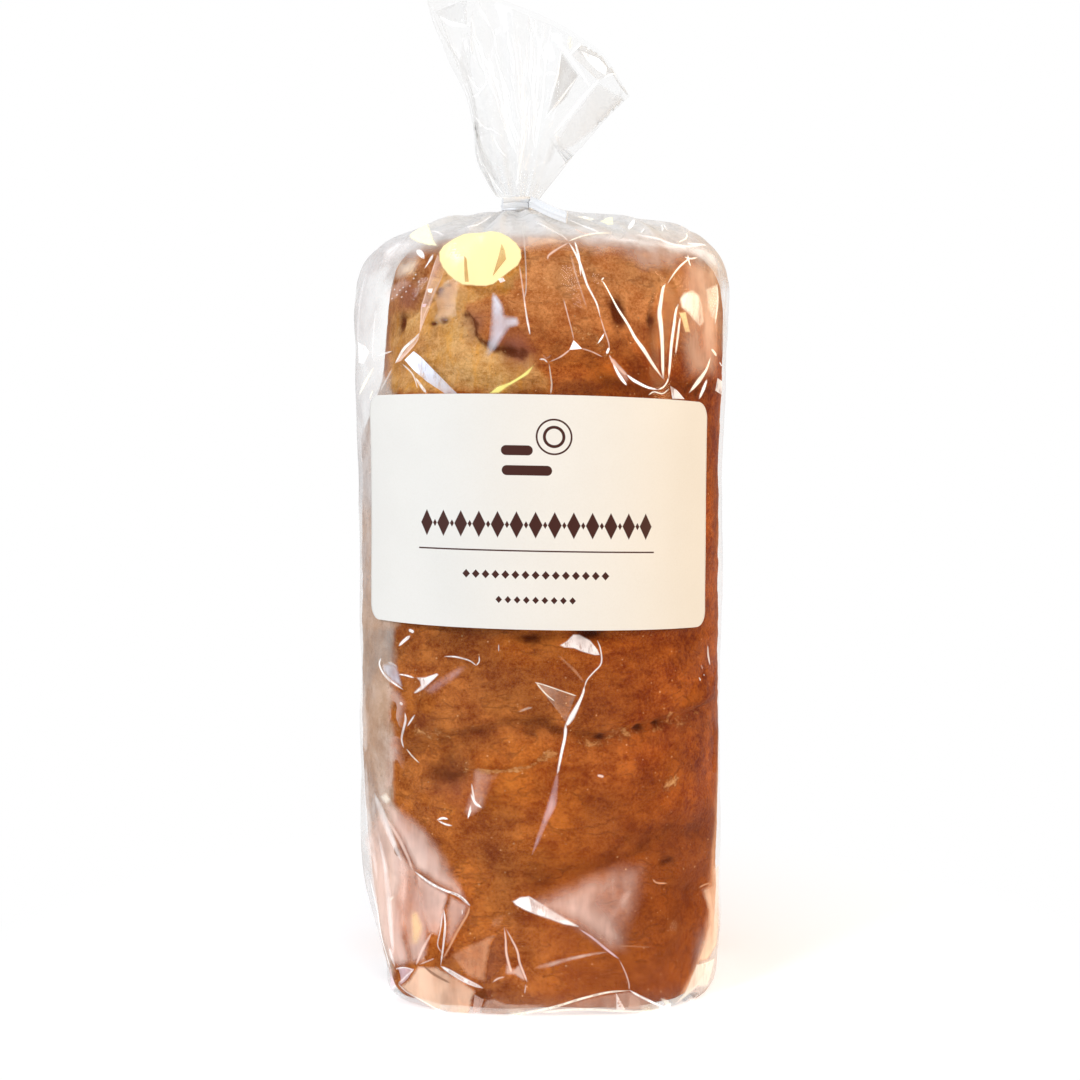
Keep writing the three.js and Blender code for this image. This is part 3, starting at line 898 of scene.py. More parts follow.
def facetField(nodes, heights, places):
    # straight facets between scattered corners, as film creases
    made = geometry.delaunay_2d_cdt([Vector(p) for p in nodes], [], [], 0, 1e-4, True)
    corners = np.array([tuple(v) for v in made[0]])
    lifts = np.array([heights[ids[0]] if ids else 0.0 for ids in made[3]])
    result = np.zeros(len(places))
    order = np.argsort(places[:, 1])
    sortedUp = places[order, 1]
    for a, b, c in made[2]:
        pa, pb, pc = corners[a], corners[b], corners[c]
        low, high = min(pa[1], pb[1], pc[1]), max(pa[1], pb[1], pc[1])
        some = order[np.searchsorted(sortedUp, low - 1e-6) : np.searchsorted(sortedUp, high + 1e-6)]
        area = (pb[0] - pa[0]) * (pc[1] - pa[1]) - (pc[0] - pa[0]) * (pb[1] - pa[1])
        if abs(area) < 1e-9 or not len(some):
            continue
        q = places[some]
        wb = ((q[:, 0] - pa[0]) * (pc[1] - pa[1]) - (pc[0] - pa[0]) * (q[:, 1] - pa[1])) / area
        wc = ((pb[0] - pa[0]) * (q[:, 1] - pa[1]) - (q[:, 0] - pa[0]) * (pb[1] - pa[1])) / area
        inside = (wb > -1e-6) & (wc > -1e-6) & (wb + wc < 1 + 1e-6)
        value = lifts[a] + wb * (lifts[b] - lifts[a]) + wc * (lifts[c] - lifts[a])
        result[some[inside]] = value[inside]
    return result


def scatterNodes(dice, low, high, tries):
    # corners of the facets, none nearer to another than crumpleAt allows
    chosen = []
    heights = []
    for _ in range(tries):
        side = dice.uniform(-roundHalf, roundHalf)
        up = dice.uniform(low, high)
        spacing, rise = crumpleAt(side, up)
        if any(abs(s - side) < spacing and math.hypot(s - side, u - up) < spacing for s, u in chosen):
            continue
        chosen.append((side, up))
        heights.append(dice.uniform(-0.55, 1) * rise)
    return chosen, heights


def labelClear(y, z):
    # 0 under the label and 1 a little way outside it
    past = np.maximum(np.abs(z - labelPlace["middle"]) - labelPlace["height"] / 2, 0)
    beside = np.maximum(y - labelPlace["sideStart"], 0)
    return ease(np.hypot(past, beside), 1.5, 6)


def crumpledFacets(around, upward):
    # the scattered corners are repeated past the seam at the back, so that the facets meet there
    top = bagTable["run"][-1]
    dice = np.random.default_rng(filmShape["seed"])
    nodes, heights = scatterNodes(dice, -50, top, filmShape["tries"])
    wrapped = [(s - math.copysign(2 * roundHalf, s), u) for s, u in nodes if abs(s) > roundHalf - 30]
    wrappedHeights = [h for (s, _), h in zip(nodes, heights) if abs(s) > roundHalf - 30]
    corners = [(side * (roundHalf + 40), up) for side in (-1, 1) for up in (-60, top + 20)]
    places = np.stack([around.ravel(), upward.ravel()], -1)
    lifts = facetField(nodes + wrapped + corners, heights + wrappedHeights + [0] * len(corners), places)
    return lifts.reshape(around.shape)


def milkiness(x, y, z, soft):
    haze = filmHaze
    seen = 1 - ease(y, *haze["seen"])
    lowLeft = haze["lowLeft"] * ease(-x, *haze["lowLeftEdge"]) * (1 - ease(z, *haze["lowLeftTop"]))
    strip = haze["strip"] + haze["stripUpper"] * ease(z, *haze["stripUpperFrom"])
    strip += haze["stripLower"] * (1 - ease(z, *haze["stripLowerTo"]))
    topSlope = z + 0.13 * np.maximum(x - 8, 0) + 0.1 * np.maximum(-x - 34, 0) + 3 * soft
    shoulder = haze["shoulder"] * ease(topSlope, *haze["shoulderFrom"])
    lowRight = haze["lowRight"] * ease(x, *haze["lowRightEdge"]) * (1 - ease(z, *haze["lowRightTop"]))
    return np.maximum.reduce([
        haze["patches"] * ease(soft, 0.0, 0.5),
        lowLeft * seen * (0.75 + 0.6 * soft),
        strip * seen * ease(-x, *haze["stripEdge"]) * (0.7 + 0.8 * soft),
        haze["foot"] * (1 - ease(z, *haze["footTop"])),
        shoulder * (1 - 0.2 * ease(z, *haze["shoulderTop"])),
        haze["rightRim"] * ease(x, *haze["rightRimEdge"]),
        lowRight * seen,
    ])


def makeFilm():
    shape = filmShape
    rows, baseRows = shape["rows"], shape["baseRows"]
    angle = ringAngles(shape["frontColumns"], shape["backColumns"])[None, :]
    # rings across the base out to its edge, and then up the side to the neck
    runs = np.linspace(0, bagTable["run"][-1], rows + 1)
    shrink = np.concatenate([np.linspace(0, 1, baseRows, endpoint=False), np.ones(rows + 1)])[:, None]
    runs = np.concatenate([np.zeros(baseRows), runs])[:, None]
    section = sectionWhere("run", runs)
    base = ringPoint(section, angle + 0 * runs)
    base[..., :2] *= shrink[..., None]
    base[..., 2] += 0.35 * (1 - ease(runs, 0, 3))
    outward = outwardOf(base)
    x, y, z = base[..., 0], base[..., 1], base[..., 2]
    turned = np.where(angle > math.pi, angle - 2 * math.pi, angle)
    around = np.interp(turned, roundAngles, roundRuns) + 0 * runs
    lift = crumpledFacets(around, runs - 50 * (1 - shrink) + 0 * angle)
    flat = base.reshape(-1, 3)
    lift += shape["waveRise"] * roughNoise(flat, shape["waveSize"], 2, 2.0).reshape(x.shape)
    # pleats drawn in towards the tie
    drawn = ease(z, *shape["pleatsFrom"]) * ease(runs, 200, 260)
    pull = shape["pleatDepth"] * pleatWave(angle, shape["pleats"], 0.35 * np.sin(3 * angle + 1))
    pull = pull + shape["finePleatDepth"] * pleatWave(angle, shape["finePleats"], 0.5 * np.sin(2 * angle))
    pull = pull * np.minimum(np.hypot(x - section["middle"], y), shape["pleatReach"]) * drawn
    lift = lift * (1 - 0.5 * ease(z, 246, 250)) - pull
    lift *= labelClear(y, z)
    lift = np.maximum(lift, shape["lowest"] - 3 * drawn)
    lift = np.where(z < 1, np.maximum(lift * 0.25, -0.1), lift)
    surface = base + outward * lift[..., None]
    surface[..., 2] = np.maximum(surface[..., 2], 0.12)
    surface[:, -1] = surface[:, 0]
    haze = milkiness(x, y, z, roughNoise(flat, 13.0, 3, 4.0).reshape(x.shape))
    pieces = []
    seam, total = shape["frontColumns"], shape["frontColumns"] + shape["backColumns"]
    for name, first, last in (("film_front", 0, seam), ("film_back", seam, total)):
        piece = newGrid(name, last - first, rows + baseRows)
        part = slice(first, last + 1)
        writePoints(piece, surface[:, part].reshape(-1, 3))
        writeNumbers(piece, "haze", haze[:, part])
        closeSeams(piece)
        pieces.append(piece)
    return pieces


def filmMaterial():
    material, tree = newMaterial("clear_film")
    place = objectPlace(tree)
    fine = cloud(tree, place, 5.0, 4, 0.6)
    scratch = cloud(tree, drawnOut(tree, place, (1.0, 1.0, 0.18)), 1.4, 3, 0.6)
    milky = times(tree, painted(tree, "haze"), stretch(tree, fine, 0.25, 0.75, 0.7, 1.35), True)
    body = mixShaders(tree, milky, clearSheet(tree), milkySheet(tree, tone(248, 249, 250), 0.4))
    gloss = {"Color": (1, 1, 1, 1), "Roughness": 0.08, "Normal": bumps(tree, scratch, 0.06, 0.0004)}
    shine = addNode(tree, "BsdfGlossy", None, gloss).outputs[0]
    # mirrors more at a glancing angle, from both sides
    glancing = addNode(tree, "LayerWeight", None, {"Blend": 0.5}).outputs["Facing"]
    bounce = plus(tree, times(tree, maths(tree, "POWER", glancing, 4.0), 0.12), 0.008, True)
    finishShader(tree, mixShaders(tree, bounce, body, shine))
    return material


clearFilm = filmMaterial()
films = makeFilm()
for film in films:
    finishPiece(film, clearFilm, "bag")
    print(film.name + ":", len(film.data.polygons), "faces")

# Folds, glints and milky sheets of the film, as seen from the front: painted highlights, reflections, sheen
# and shade, and the film's own milky haze

foldShape = {
    "step": 0.9,  # along a line
    "lift": 0.15,
    "layer": 0.003,  # from one fold to the next, so that none lie in the same place
    "spacing": 1.1,  # between a sheet's points
    "crisp": 0.4,  # sheets with a softer edge than this fade out towards it
}

# colours of the film's painted glints, highlights, sheen and reflections, of its painted shade (grey, shade,
# plum and brown), and of its milky sheets, which are partly the film's haze and partly painted sheen
foldGlintAndShadeTones = {
    "white": (255, 255, 255),
    "cream": (255, 251, 238),
    "paleYellow": (255, 252, 222),
    "yellow": (252, 242, 184),
    "lemon": (252, 248, 150),
    "gold": (255, 230, 172),
    "peach": (255, 224, 196),
    "pink": (244, 217, 205),
    "pinkGrey": (206, 176, 160),
    "lilac": (236, 212, 222),
    "blue": (224, 236, 255),
    "tan": (226, 174, 138),
    "ochre": (186, 148, 96),
    "grey": (216, 215, 214),
    "shade": (176, 172, 168),
    "plum": (128, 78, 66),
    "brown": (100, 54, 26),
}

# specks of light at the left shoulder, each a short glint
leftSpecks = [
    (-43.6, 219.8), (-42.6, 220.6), (-44.6, 218.4), (-41.6, 219.2), (-45.4, 220.2), (-40.4, 220.9),
    (-43, 217.6), (-39.2, 223.2), (-38.6, 224.4), (-46.2, 217.4), (-37.6, 222),
]

# painted highlights and shade along folds, as bright or dark lines: tone, strength, half width along the
# line, and the line, across and up
filmLines = [
    # the left shoulder
    ("pink", 0.6, (0.25, 0.35, 0.3), [(-31.5, 230.8), (-32.8, 226.3), (-34, 222.3), (-35.3, 217.4),
        (-36.3, 214), (-36.5, 209.6), (-36.9, 206.3)]),
    ("pink", 0.5, (0.2, 0.3, 0.3), [(-29.2, 225.2), (-30.9, 221.2), (-32.4, 218.4), (-34, 214.6),
        (-35.3, 211.9), (-36.3, 208.4), (-36.9, 206.3)]),
    ("white", 0.95, (0.3, 0.6, 0.3), [(-36.9, 206.3), (-38.9, 204.3), (-41.9, 201.9), (-43.6, 199.5),
        (-45, 197.5)]),
    ("pink", 0.5, (0.3, 0.3), [(-36.9, 205.7), (-38.1, 203.4), (-40.2, 201.2), (-43.2, 198.4)]),
    ("grey", 0.4, (0.3, 0.3, 0.3), [(-5.3, 240.9), (-4.6, 230.8), (-4.2, 224.3), (-4.2, 218.7),
        (-4.7, 215.5)]),
    ("pink", 0.6, (0.25, 0.35, 0.3), [(-6.2, 225.9), (-5.4, 220.3), (-4.7, 215.1), (-4.4, 212.4)]),
    ("white", 1, (0.2, 0.38, 0.2), [(-4.7, 215.1), (-4, 210.1), (-3.4, 207), (-3, 204.8)]),
    ("white", 0.5, (0.3, 0.3), [(-42.5, 197), (-39.7, 194.4), (-38.4, 192), (-37.6, 189.2)]),
    ("white", 0.9, (0.3, 0.6, 0.5), [(-38.3, 192.6), (-36.4, 189.9), (-34.8, 187.8)]),
    *[("white", 0.75, (0.22, 0.22), [(x, z), (x + 0.45, z + 0.35)]) for x, z in leftSpecks],
    ("white", 1.3, (0.7, 1.2, 0.6), [(-38.4, 232.8), (-37.1, 231.5), (-35.8, 229.6)]),
    ("white", 0.9, (0.4, 0.6, 0.3, 0.25), [(-33, 230.9), (-33.7, 229.3), (-34.5, 228), (-35.6, 226.3)]),
    ("cream", 1, (0.3, 0.9, 0.4), [(-58.6, 188.8), (-55.8, 192.6), (-52.5, 196.9)]),
    ("cream", 0.8, (0.4, 0.4), [(-54.2, 187.1), (-52.9, 189.8)]),
    ("white", 0.9, (0.2, 0.4, 0.2), [(-50.8, 200.3), (-48.5, 200.8), (-46.1, 201.3)]),
    ("white", 0.35, (0.5, 0.5, 0.5), [(-56, 228.2), (-58.1, 219.9), (-58.9, 211.5), (-59, 205.2)]),
    ("white", 0.35, (0.4, 0.4, 0.4), [(-51.6, 214.9), (-52.3, 209.7), (-53, 201.6), (-52.2, 198.3)]),
    ("white", 0.3, (0.4, 0.4), [(-46.2, 195.7), (-48.4, 192.2), (-50.3, 189.2)]),
    ("white", 0.5, (0.3, 0.3), [(-34.5, 240.1), (-32.1, 239), (-29.9, 237.2)]),
    ("white", 0.5, (0.3, 0.4, 0.3), [(-23.5, 239.6), (-19.6, 241), (-15.1, 246.2)]),
    # the right shoulder
    ("white", 0.5, (0.3, 0.4, 0.3), [(-1.6, 241.4), (3.2, 238.1), (6.3, 236.3), (8.8, 234)]),
    ("cream", 0.85, (0.3, 0.4, 0.2), [(8.8, 234), (11.8, 235.5), (15.8, 237), (19, 237.4), (22.2, 237.6)]),
    ("pink", 0.6, (0.3, 0.5, 0.3), [(8.8, 233.4), (5.5, 231.3), (2.7, 229.1), (2.3, 227.7)]),
    ("white", 0.7, (0.3, 0.35, 0.2), [(8.5, 244.6), (13.5, 240.5), (18.6, 237.5)]),
    ("pink", 0.4, (0.3, 0.3), [(10.7, 238.9), (13.4, 237.3), (16.2, 237.1)]),
    ("white", 1, (0.3, 0.5, 0.4, 0.3), [(8.8, 233.4), (10.1, 231.1), (11.9, 227.2), (13.4, 222.8),
        (14.3, 220), (15.9, 216.9), (17.2, 214.2), (18.2, 210.3)]),
    ("white", 1, (0.3, 0.5, 0.2), [(10.6, 233.9), (11.3, 230.9), (11.9, 227.6), (12.3, 222.8)]),
    ("pink", 0.5, (0.25, 0.3, 0.2), [(18.2, 210.3), (19.5, 206.1), (20.7, 202.6), (20.9, 200.3)]),
    ("pink", 0.3, (0.4, 0.4, 0.3), [(9.2, 230), (10.5, 224.4), (12.7, 217.2), (14.1, 212.9)]),
    ("white", 1.3, (0.2, 0.35, 0.2), [(17.4, 202.2), (18.5, 203.8), (19.4, 205.4)]),
    ("white", 1.3, (0.4, 0.5), [(20.9, 201.1), (20.1, 199.2)]),
    ("pink", 0.7, (0.3, 0.4), [(20.9, 198.9), (22, 196.5)]),
    ("white", 1.3, (0.3, 0.7, 0.3), [(22, 196.5), (23.6, 193.4), (25.2, 191.1), (26.3, 189.8)]),
    ("pink", 0.6, (0.8, 0.8, 0.5), [(21.3, 198), (23.2, 195.7), (25.2, 193.8), (26.3, 192.9)]),
    ("white", 1.3, (0.3, 0.6, 0.5, 0.3), [(26.2, 193.1), (27.9, 191.7), (29.5, 190.8), (32.7, 189.4),
        (36, 188.8)]),
    ("cream", 1.17, (0.35, 0.35), [(36, 188.8), (37.8, 189.6), (39.1, 191.4), (39.5, 192.8)]),
    ("cream", 1.04, (0.3, 0.3), [(18.6, 221.7), (19.4, 222.5)]),
    ("cream", 1.3, (0.18, 0.3, 0.5, 0.75, 0.4), [(18.6, 221.7), (19.6, 220.4), (21.7, 216.5), (23.7, 212.8),
        (26.4, 208.7), (28.8, 204.4), (31.6, 200.7), (34.4, 196.5), (37.6, 192.3)]),
    ("cream", 1.3, (0.3, 0.7, 1, 0.6, 0.5), [(38.7, 221.5), (37.8, 220), (37.1, 215.9), (36.6, 212.3),
        (37.1, 208), (37.5, 202.1), (37.6, 196.2), (37.8, 192.1)]),
    ("cream", 1.17, (0.2, 0.4, 0.3), [(39.3, 221.7), (41.3, 224.8), (43.5, 227.6), (45.5, 229.5),
        (46.9, 230.8)]),
    ("cream", 1.04, (0.4, 0.4), [(45.2, 231), (47.1, 230.6), (49.7, 231.4)]),
    ("cream", 1.04, (0.4, 0.3), [(46.4, 231.9), (46.6, 229.6), (47.1, 228)]),
    ("cream", 1.3, (0.3, 0.6, 0.55, 0.35), [(42.8, 215.6), (41.9, 213.1), (41.2, 208.3), (40.6, 204.3),
        (40.2, 200.3), (39.8, 195.2), (39.5, 192.4)]),
    ("cream", 1.17, (0.3, 0.5, 0.3), [(43.4, 211.7), (42.9, 208.4), (42.4, 204.4), (41.8, 200.2)]),
    ("cream", 1.04, (0.3, 0.5, 0.3), [(56.6, 223.8), (56.8, 218.5), (55.7, 210.6)]),
    ("cream", 1.17, (0.3, 0.5, 0.9, 0.3), [(54, 200), (52.5, 196.1), (49.7, 192.2), (46.3, 188.2)]),
    ("cream", 1.04, (0.5, 0.6), [(54.3, 202.8), (55.4, 202), (56.4, 200.8)]),
    ("cream", 0.91, (0.25, 0.3, 0.3, 0.25), [(33.1, 187), (34.8, 188.1), (37.6, 187.6), (39.7, 189.3)]),
    ("white", 1.17, (0.4, 0.7, 0.4), [(52.7, 192.9), (51.5, 190), (49.9, 186.6)]),
    ("white", 1.04, (0.3, 0.3), [(57.6, 199.1), (58.7, 197.9)]),
    ("cream", 1.04, (0.2, 0.35, 0.3), [(43.3, 236.1), (46.7, 238.5), (47.1, 240.8)]),
    ("white", 0.65, (0.4, 0.6, 0.6, 0.4), [(29.5, 237.9), (36.5, 236.7), (44.1, 234.9), (52.2, 236.2)]),
    ("white", 1.04, (0.3, 0.6, 0.3), [(46.5, 236.4), (49.2, 236.3), (54.3, 236.9)]),
    ("white", 1.3, (0.4, 0.9, 0.5), [(30.1, 244.3), (29, 242.1), (27.7, 240.1)]),
    ("white", 0.91, (0.2, 0.4, 0.2), [(39.6, 244.6), (39, 240.3)]),
    ("white", 0.91, (0.2, 0.3, 0.2), [(40.2, 244.5), (40.8, 241.1)]),
    ("white", 0.78, (0.2, 0.3, 0.2), [(33.1, 240.5), (31.4, 238.5)]),
    ("grey", 0.4, (0.5, 0.5, 0.5, 0.5), [(55.3, 235.2), (60.1, 224.1), (59.2, 210.8), (58.9, 200.4)]),
    ("pink", 0.6, (0.3, 0.35, 0.2), [(9.2, 200.4), (6.2, 198.1), (2.7, 196.5)]),
    ("pink", 0.5, (0.3, 0.3, 0.2), [(12.3, 200.7), (15.4, 199.8), (18.9, 198.2)]),
    ("pink", 0.5, (0.3, 0.25, 0.3), [(10.2, 203.2), (9.5, 206.3), (8.3, 210.9), (7.1, 215.6)]),
    ("white", 0.8, (0.35, 0.35), [(-0.2, 197.3), (1.2, 197.3), (2.3, 196.3)]),
    ("pink", 0.3, (0.3, 0.3), [(0.8, 198.8), (1.9, 197.6), (3.5, 198.7)]),
    ("cream", 0.6, (0.25, 0.35, 0.4), [(2.7, 196.2), (3.2, 192.4), (3.5, 189.7), (3.2, 186.9)]),
    # below the label
    ("white", 1, (0.25, 0.4, 0.4), [(-43.7, 101), (-41.3, 100.9), (-38.6, 100.4)]),
    ("white", 0.95, (0.3, 0.4, 0.5, 0.3), [(-50, 105.3), (-50.6, 103.3), (-49.6, 101.1), (-47.7, 99.3),
        (-45.4, 98), (-42.3, 96.4)]),
    ("white", 0.9, (0.2, 0.3, 0.3, 0.2), [(-29.1, 107.6), (-26, 107.7), (-23.4, 107.3), (-21, 106.6),
        (-19.2, 105.3)]),
    ("white", 0.6, (0.25, 0.25), [(-19.2, 105.3), (-18.3, 106.5), (-18.3, 108.2)]),
    ("white", 0.9, (0.6, 0.6), [(-40.4, 115.1), (-38.7, 114.4)]),
    ("white", 0.9, (0.6, 0.6, 0.4), [(-40, 113.2), (-42, 111.5), (-43.7, 109.8)]),
    ("white", 0.8, (0.3, 0.5, 0.4, 0.3), [(-41.7, 89.3), (-41.5, 87), (-42.3, 83.8), (-42.8, 81),
        (-42.1, 78.4)]),
    ("white", 0.7, (0.3, 0.4, 0.2), [(-38.4, 89.1), (-39.9, 86.8), (-40.9, 85.2)]),
    ("cream", 0.65, (0.25, 0.35, 0.2), [(-41.2, 78.3), (-39.2, 76.2), (-36.9, 74.4)]),
    ("white", 0.9, (0.5, 0.5), [(-43.4, 92.3), (-42.5, 91.6)]),
    ("white", 0.4, (0.5, 0.4), [(-47.6, 104.3), (-45.7, 104), (-44.2, 103.2)]),
    ("white", 0.6, (0.2, 0.3, 0.3, 0.25), [(17.2, 113), (18.2, 110.2), (18.4, 106), (16, 103.3),
        (14.1, 101.1), (13.3, 98.8)]),
    ("tan", 0.4, (0.4, 0.6, 0.4), [(5.4, 108.8), (8.1, 106.2), (10.9, 103.4), (13, 100.6)]),
    ("white", 1, (0.3, 0.5, 1.1, 0.5), [(13.3, 99.2), (12.8, 96.9), (10.9, 92.8), (8.8, 89), (7.8, 87.4)]),
    ("white", 1, (0.6, 0.55, 0.5, 0.4), [(7.7, 88.2), (7.5, 84.2), (6.5, 79.6), (5.6, 75), (5.2, 73.1)]),
    ("lilac", 0.42, (0.5, 1.1, 1.6, 1.1, 0.9, 0.4), [(5.4, 74.5), (4.5, 68.5), (3.6, 63.9), (1.7, 59.3),
        (-0.1, 54.7), (-2.4, 48.7)]),
    ("cream", 0.8, (0.3, 0.25, 0.25, 0.3), [(-1.5, 100.5), (1.7, 99.6), (7.2, 97.7), (10.9, 96.4)]),
    ("cream", 0.8, (0.35, 0.3, 0.2), [(-1, 100.2), (1.7, 97.1), (4.5, 94.8)]),
    ("tan", 0.3, (0.4, 0.4), [(4.2, 95), (5.8, 92), (7.5, 88.8)]),
    ("cream", 0.35, (0.4, 0.5, 0.4), [(-6.6, 91.6), (-3.8, 92.7), (-2.3, 93)]),
    ("pink", 0.9, (0.5, 0.55), [(17.2, 72.3), (19.3, 71.7)]),
    ("white", 0.6, (0.2, 0.25), [(-12.4, 111.9), (-12.4, 109.6)]),
    ("white", 0.7, (0.3, 0.4, 0.5, 0.3), [(-20.6, 69.8), (-20.1, 66.6), (-19.5, 63.8), (-17.4, 62.5)]),
    ("white", 0.7, (0.35, 0.35), [(-20.7, 61.9), (-21.7, 59.6)]),
    # the right edge
    ("white", 0.7, (0.25, 0.45, 0.25), [(53.2, 108.9), (53.5, 105.4), (54.3, 102.2)]),
    ("white", 0.9, (0.3, 0.5, 0.3), [(51.8, 99.8), (52.7, 97.7), (53.6, 95.8)]),
    ("white", 0.7, (0.25, 0.35, 0.2), [(49.9, 99.3), (50.7, 97.9), (51.3, 96.3)]),
    ("pink", 0.4, (0.3, 0.3), [(50.4, 97.4), (51.8, 95.9), (52.9, 94.1)]),
    ("pink", 0.4, (0.3, 0.3), [(50.7, 103), (51.4, 101.5)]),
    # the lower left corner
    ("pink", 0.6, (0.6, 0.9, 0.7, 0.5), [(-48.1, 55.7), (-43.6, 49.8), (-40.9, 44.9), (-39.2, 41.1)]),
    ("white", 1, (0.5, 0.5, 0.5, 0.6), [(-38.5, 40.8), (-34.1, 38.7), (-29, 36.7), (-24.4, 35.3),
        (-21.1, 32.9)]),
    ("brown", 0.6, (0.2, 0.25, 0.2), [(-27.6, 34.9), (-26.9, 36.1), (-24.2, 35.1), (-21.7, 33.2)]),
    ("white", 0.8, (0.25, 0.45, 0.3), [(-29.2, 30.6), (-28.8, 26), (-29.2, 21), (-30.1, 13.9)]),
    ("white", 0.5, (0.2, 0.3, 0.2), [(-29.6, 29.9), (-30.3, 24.3), (-31.1, 20.1), (-29.8, 17.8)]),
    ("white", 0.5, (0.2, 0.2), [(-23.5, 31.4), (-23.5, 29.8)]),
    ("tan", 0.6, (0.4, 0.5, 0.4), [(-21.2, 32.8), (-22, 29.9), (-25, 24.6), (-27.5, 19.7), (-29.5, 15.8)]),
    ("pink", 0.6, (0.4, 0.6, 0.4), [(-33, 23.3), (-35.8, 18), (-37.9, 12.9)]),
    ("white", 0.6, (0.25, 0.3, 0.25), [(-47.1, 7.5), (-42.6, 10.8), (-38.7, 11.2)]),
    ("white", 0.5, (0.3, 0.4, 0.3), [(-38.7, 11.2), (-41.5, 8.1), (-47.1, 0.7)]),
    ("white", 0.9, (0.4, 0.8, 0.9, 0.5), [(-30.1, 13.9), (-27, 12.6), (-22, 10.3), (-17.1, 8.6)]),
    ("pink", 0.4, (0.3, 0.3), [(-36.9, 13.2), (-33.7, 14.9), (-32.1, 15.8)]),
    ("brown", 0.5, (0.4, 0.6, 0.4), [(-35.3, 12.9), (-32.2, 11.1), (-27.1, 9.2)]),
    ("white", 0.5, (0.25, 0.25), [(-46.1, 0.3), (-42.5, 0.1), (-38.9, 0)]),
    ("white", 0.5, (0.25, 0.25), [(-38.9, 0), (-40.1, 0)]),
    ("white", 0.5, (0.4, 0.4, 0.4, 0.4), [(-45.3, 5.2), (-41.5, 3.8), (-36.6, 2.6), (-29.8, 0.3),
        (-21, -1.1)]),
    ("white", 0.7, (0.4, 0.4, 0.4, 0.4), [(-54.9, 33.1), (-51.4, 24.1), (-49.6, 16.3), (-48, 11.3),
        (-47.1, 7.9)]),
    ("cream", 0.5, (0.4, 0.4), [(-46.8, 30), (-45.5, 31.8)]),
    ("white", 0.4, (0.8, 1.7, 1.2, 0.6), [(-52.5, 62), (-49.5, 56), (-46, 49), (-43, 43)]),
    ("white", 0.3, (0.8, 1.5, 0.8), [(-56, 70), (-55.5, 58), (-54, 46), (-52, 34)]),
    ("white", 0.35, (0.6, 1.3, 0.6), [(-51, 50), (-48.5, 38), (-46.5, 25), (-45.5, 14)]),
    ("white", 0.25, (1.2, 2.2, 1.2), [(-57.5, 98), (-57, 84), (-56, 74)]),
    ("white", 1, (0.3, 0.5, 0.3), [(-31.3, 57.8), (-29.5, 58.6), (-27.8, 58.5)]),
    ("white", 0.9, (0.3, 0.4, 0.3), [(-31, 57.7), (-28.9, 56.9), (-26.5, 56.6)]),
    ("white", 0.8, (0.3, 0.5, 0.4), [(-20.8, 66.7), (-19.7, 64.3), (-17.7, 62.7)]),
    ("white", 0.8, (0.3, 0.4, 0.3), [(-20.8, 63.2), (-21.2, 61.3), (-21.7, 59.2)]),
    ("white", 0.5, (0.6, 0.9, 0.5), [(-46.8, 15.8), (-46.1, 12.8), (-45, 9.6)]),
    # the foot
    ("lilac", 0.55, (0.3, 0.4, 0.5, 0.45, 0.3), [(11.9, 26.2), (15.7, 23.6), (19.9, 20.1), (23.8, 17.1)]),
    ("pink", 0.5, (0.2, 0.3, 0.3), [(23.8, 17), (25.6, 13.2), (26.7, 9.9), (26.8, 8)]),
    ("cream", 0.9, (0.3, 0.45, 0.5, 0.6, 0.5), [(26.8, 7.7), (21, 7.4), (14, 5.8), (8.8, 4.4), (3.6, 2.9),
        (-3.4, 1.4), (-9.5, 0.1), (-17.3, -1.3)]),
    ("cream", 0.8, (0.5, 0.5, 0.5, 0.4), [(0.1, 1.4), (10.5, 2.2), (21, 1.8), (30.7, 0.5)]),
    ("pink", 0.35, (0.8, 0.9, 0.7, 0.6, 0.4), [(-1.6, 14.8), (3.6, 16), (8.4, 17.3), (14, 18.4),
        (20.3, 19.3)]),
    ("pink", 0.8, (0.25, 0.45, 0.5, 0.6), [(-10.8, 27), (-10.3, 23.1), (-10.1, 19.3), (-9.2, 15.5),
        (-8.5, 13.3)]),
    ("pink", 0.7, (0.25, 0.4, 0.45, 0.45, 0.4), [(-10.5, 26.9), (-8.5, 23.2), (-6.8, 19.7), (-6.1, 16.4),
        (-4.7, 12.9), (-3.8, 10.7)]),
    ("pink", 0.5, (0.3, 0.4, 0.3), [(-14.2, 10.6), (-12.5, 11.8), (-10.5, 12.3)]),
    ("pink", 0.4, (0.3, 0.3), [(-4.2, 10.2), (-4.6, 7.3)]),
    ("pink", 0.4, (0.3, 0.3, 0.3), [(22.7, 7.2), (23.6, 4.8), (25.7, 1.5)]),
    ("white", 1, (0.35, 0.5, 0.5, 0.7), [(26.9, 7.8), (30, 5.7), (33.7, 3.4), (37.9, 0.6), (35.3, 0),
        (39.8, 1.9)]),
    ("white", 1, (0.9, 0.9), [(37.5, 0), (39.8, 0.9)]),
    ("white", 0.6, (0.4, 0.5, 0.3), [(40.2, 1.9), (38, 0), (45.3, 0), (49, 2)]),
    ("cream", 0.8, (0.5, 0.5), [(27.8, 1.1), (33.8, 0.2), (31.8, 0), (38.9, 1.1)]),
    ("cream", 0.5, (0.6, 0.9, 0.6), [(36.4, 4.3), (38.5, 2.2), (40, 0)]),
    ("tan", 0.3, (0.3, 0.3, 0.3), [(23.8, 20.8), (27.7, 20.6), (33.6, 19.7)]),
    ("tan", 0.6, (0.3, 0.4, 0.3), [(49.8, 33.3), (52, 33.6), (54.5, 33.2)]),
    ("tan", 0.7, (0.3, 0.4, 0.3), [(34.4, 39.3), (35.7, 37.9), (39.3, 37.1)]),
    ("grey", 0.5, (0.4, 0.4, 0.4, 0.4), [(57.4, 20.5), (56.9, 16.5), (56.4, 12.4), (55.3, 8.8),
        (53.6, 3.8)]),
]

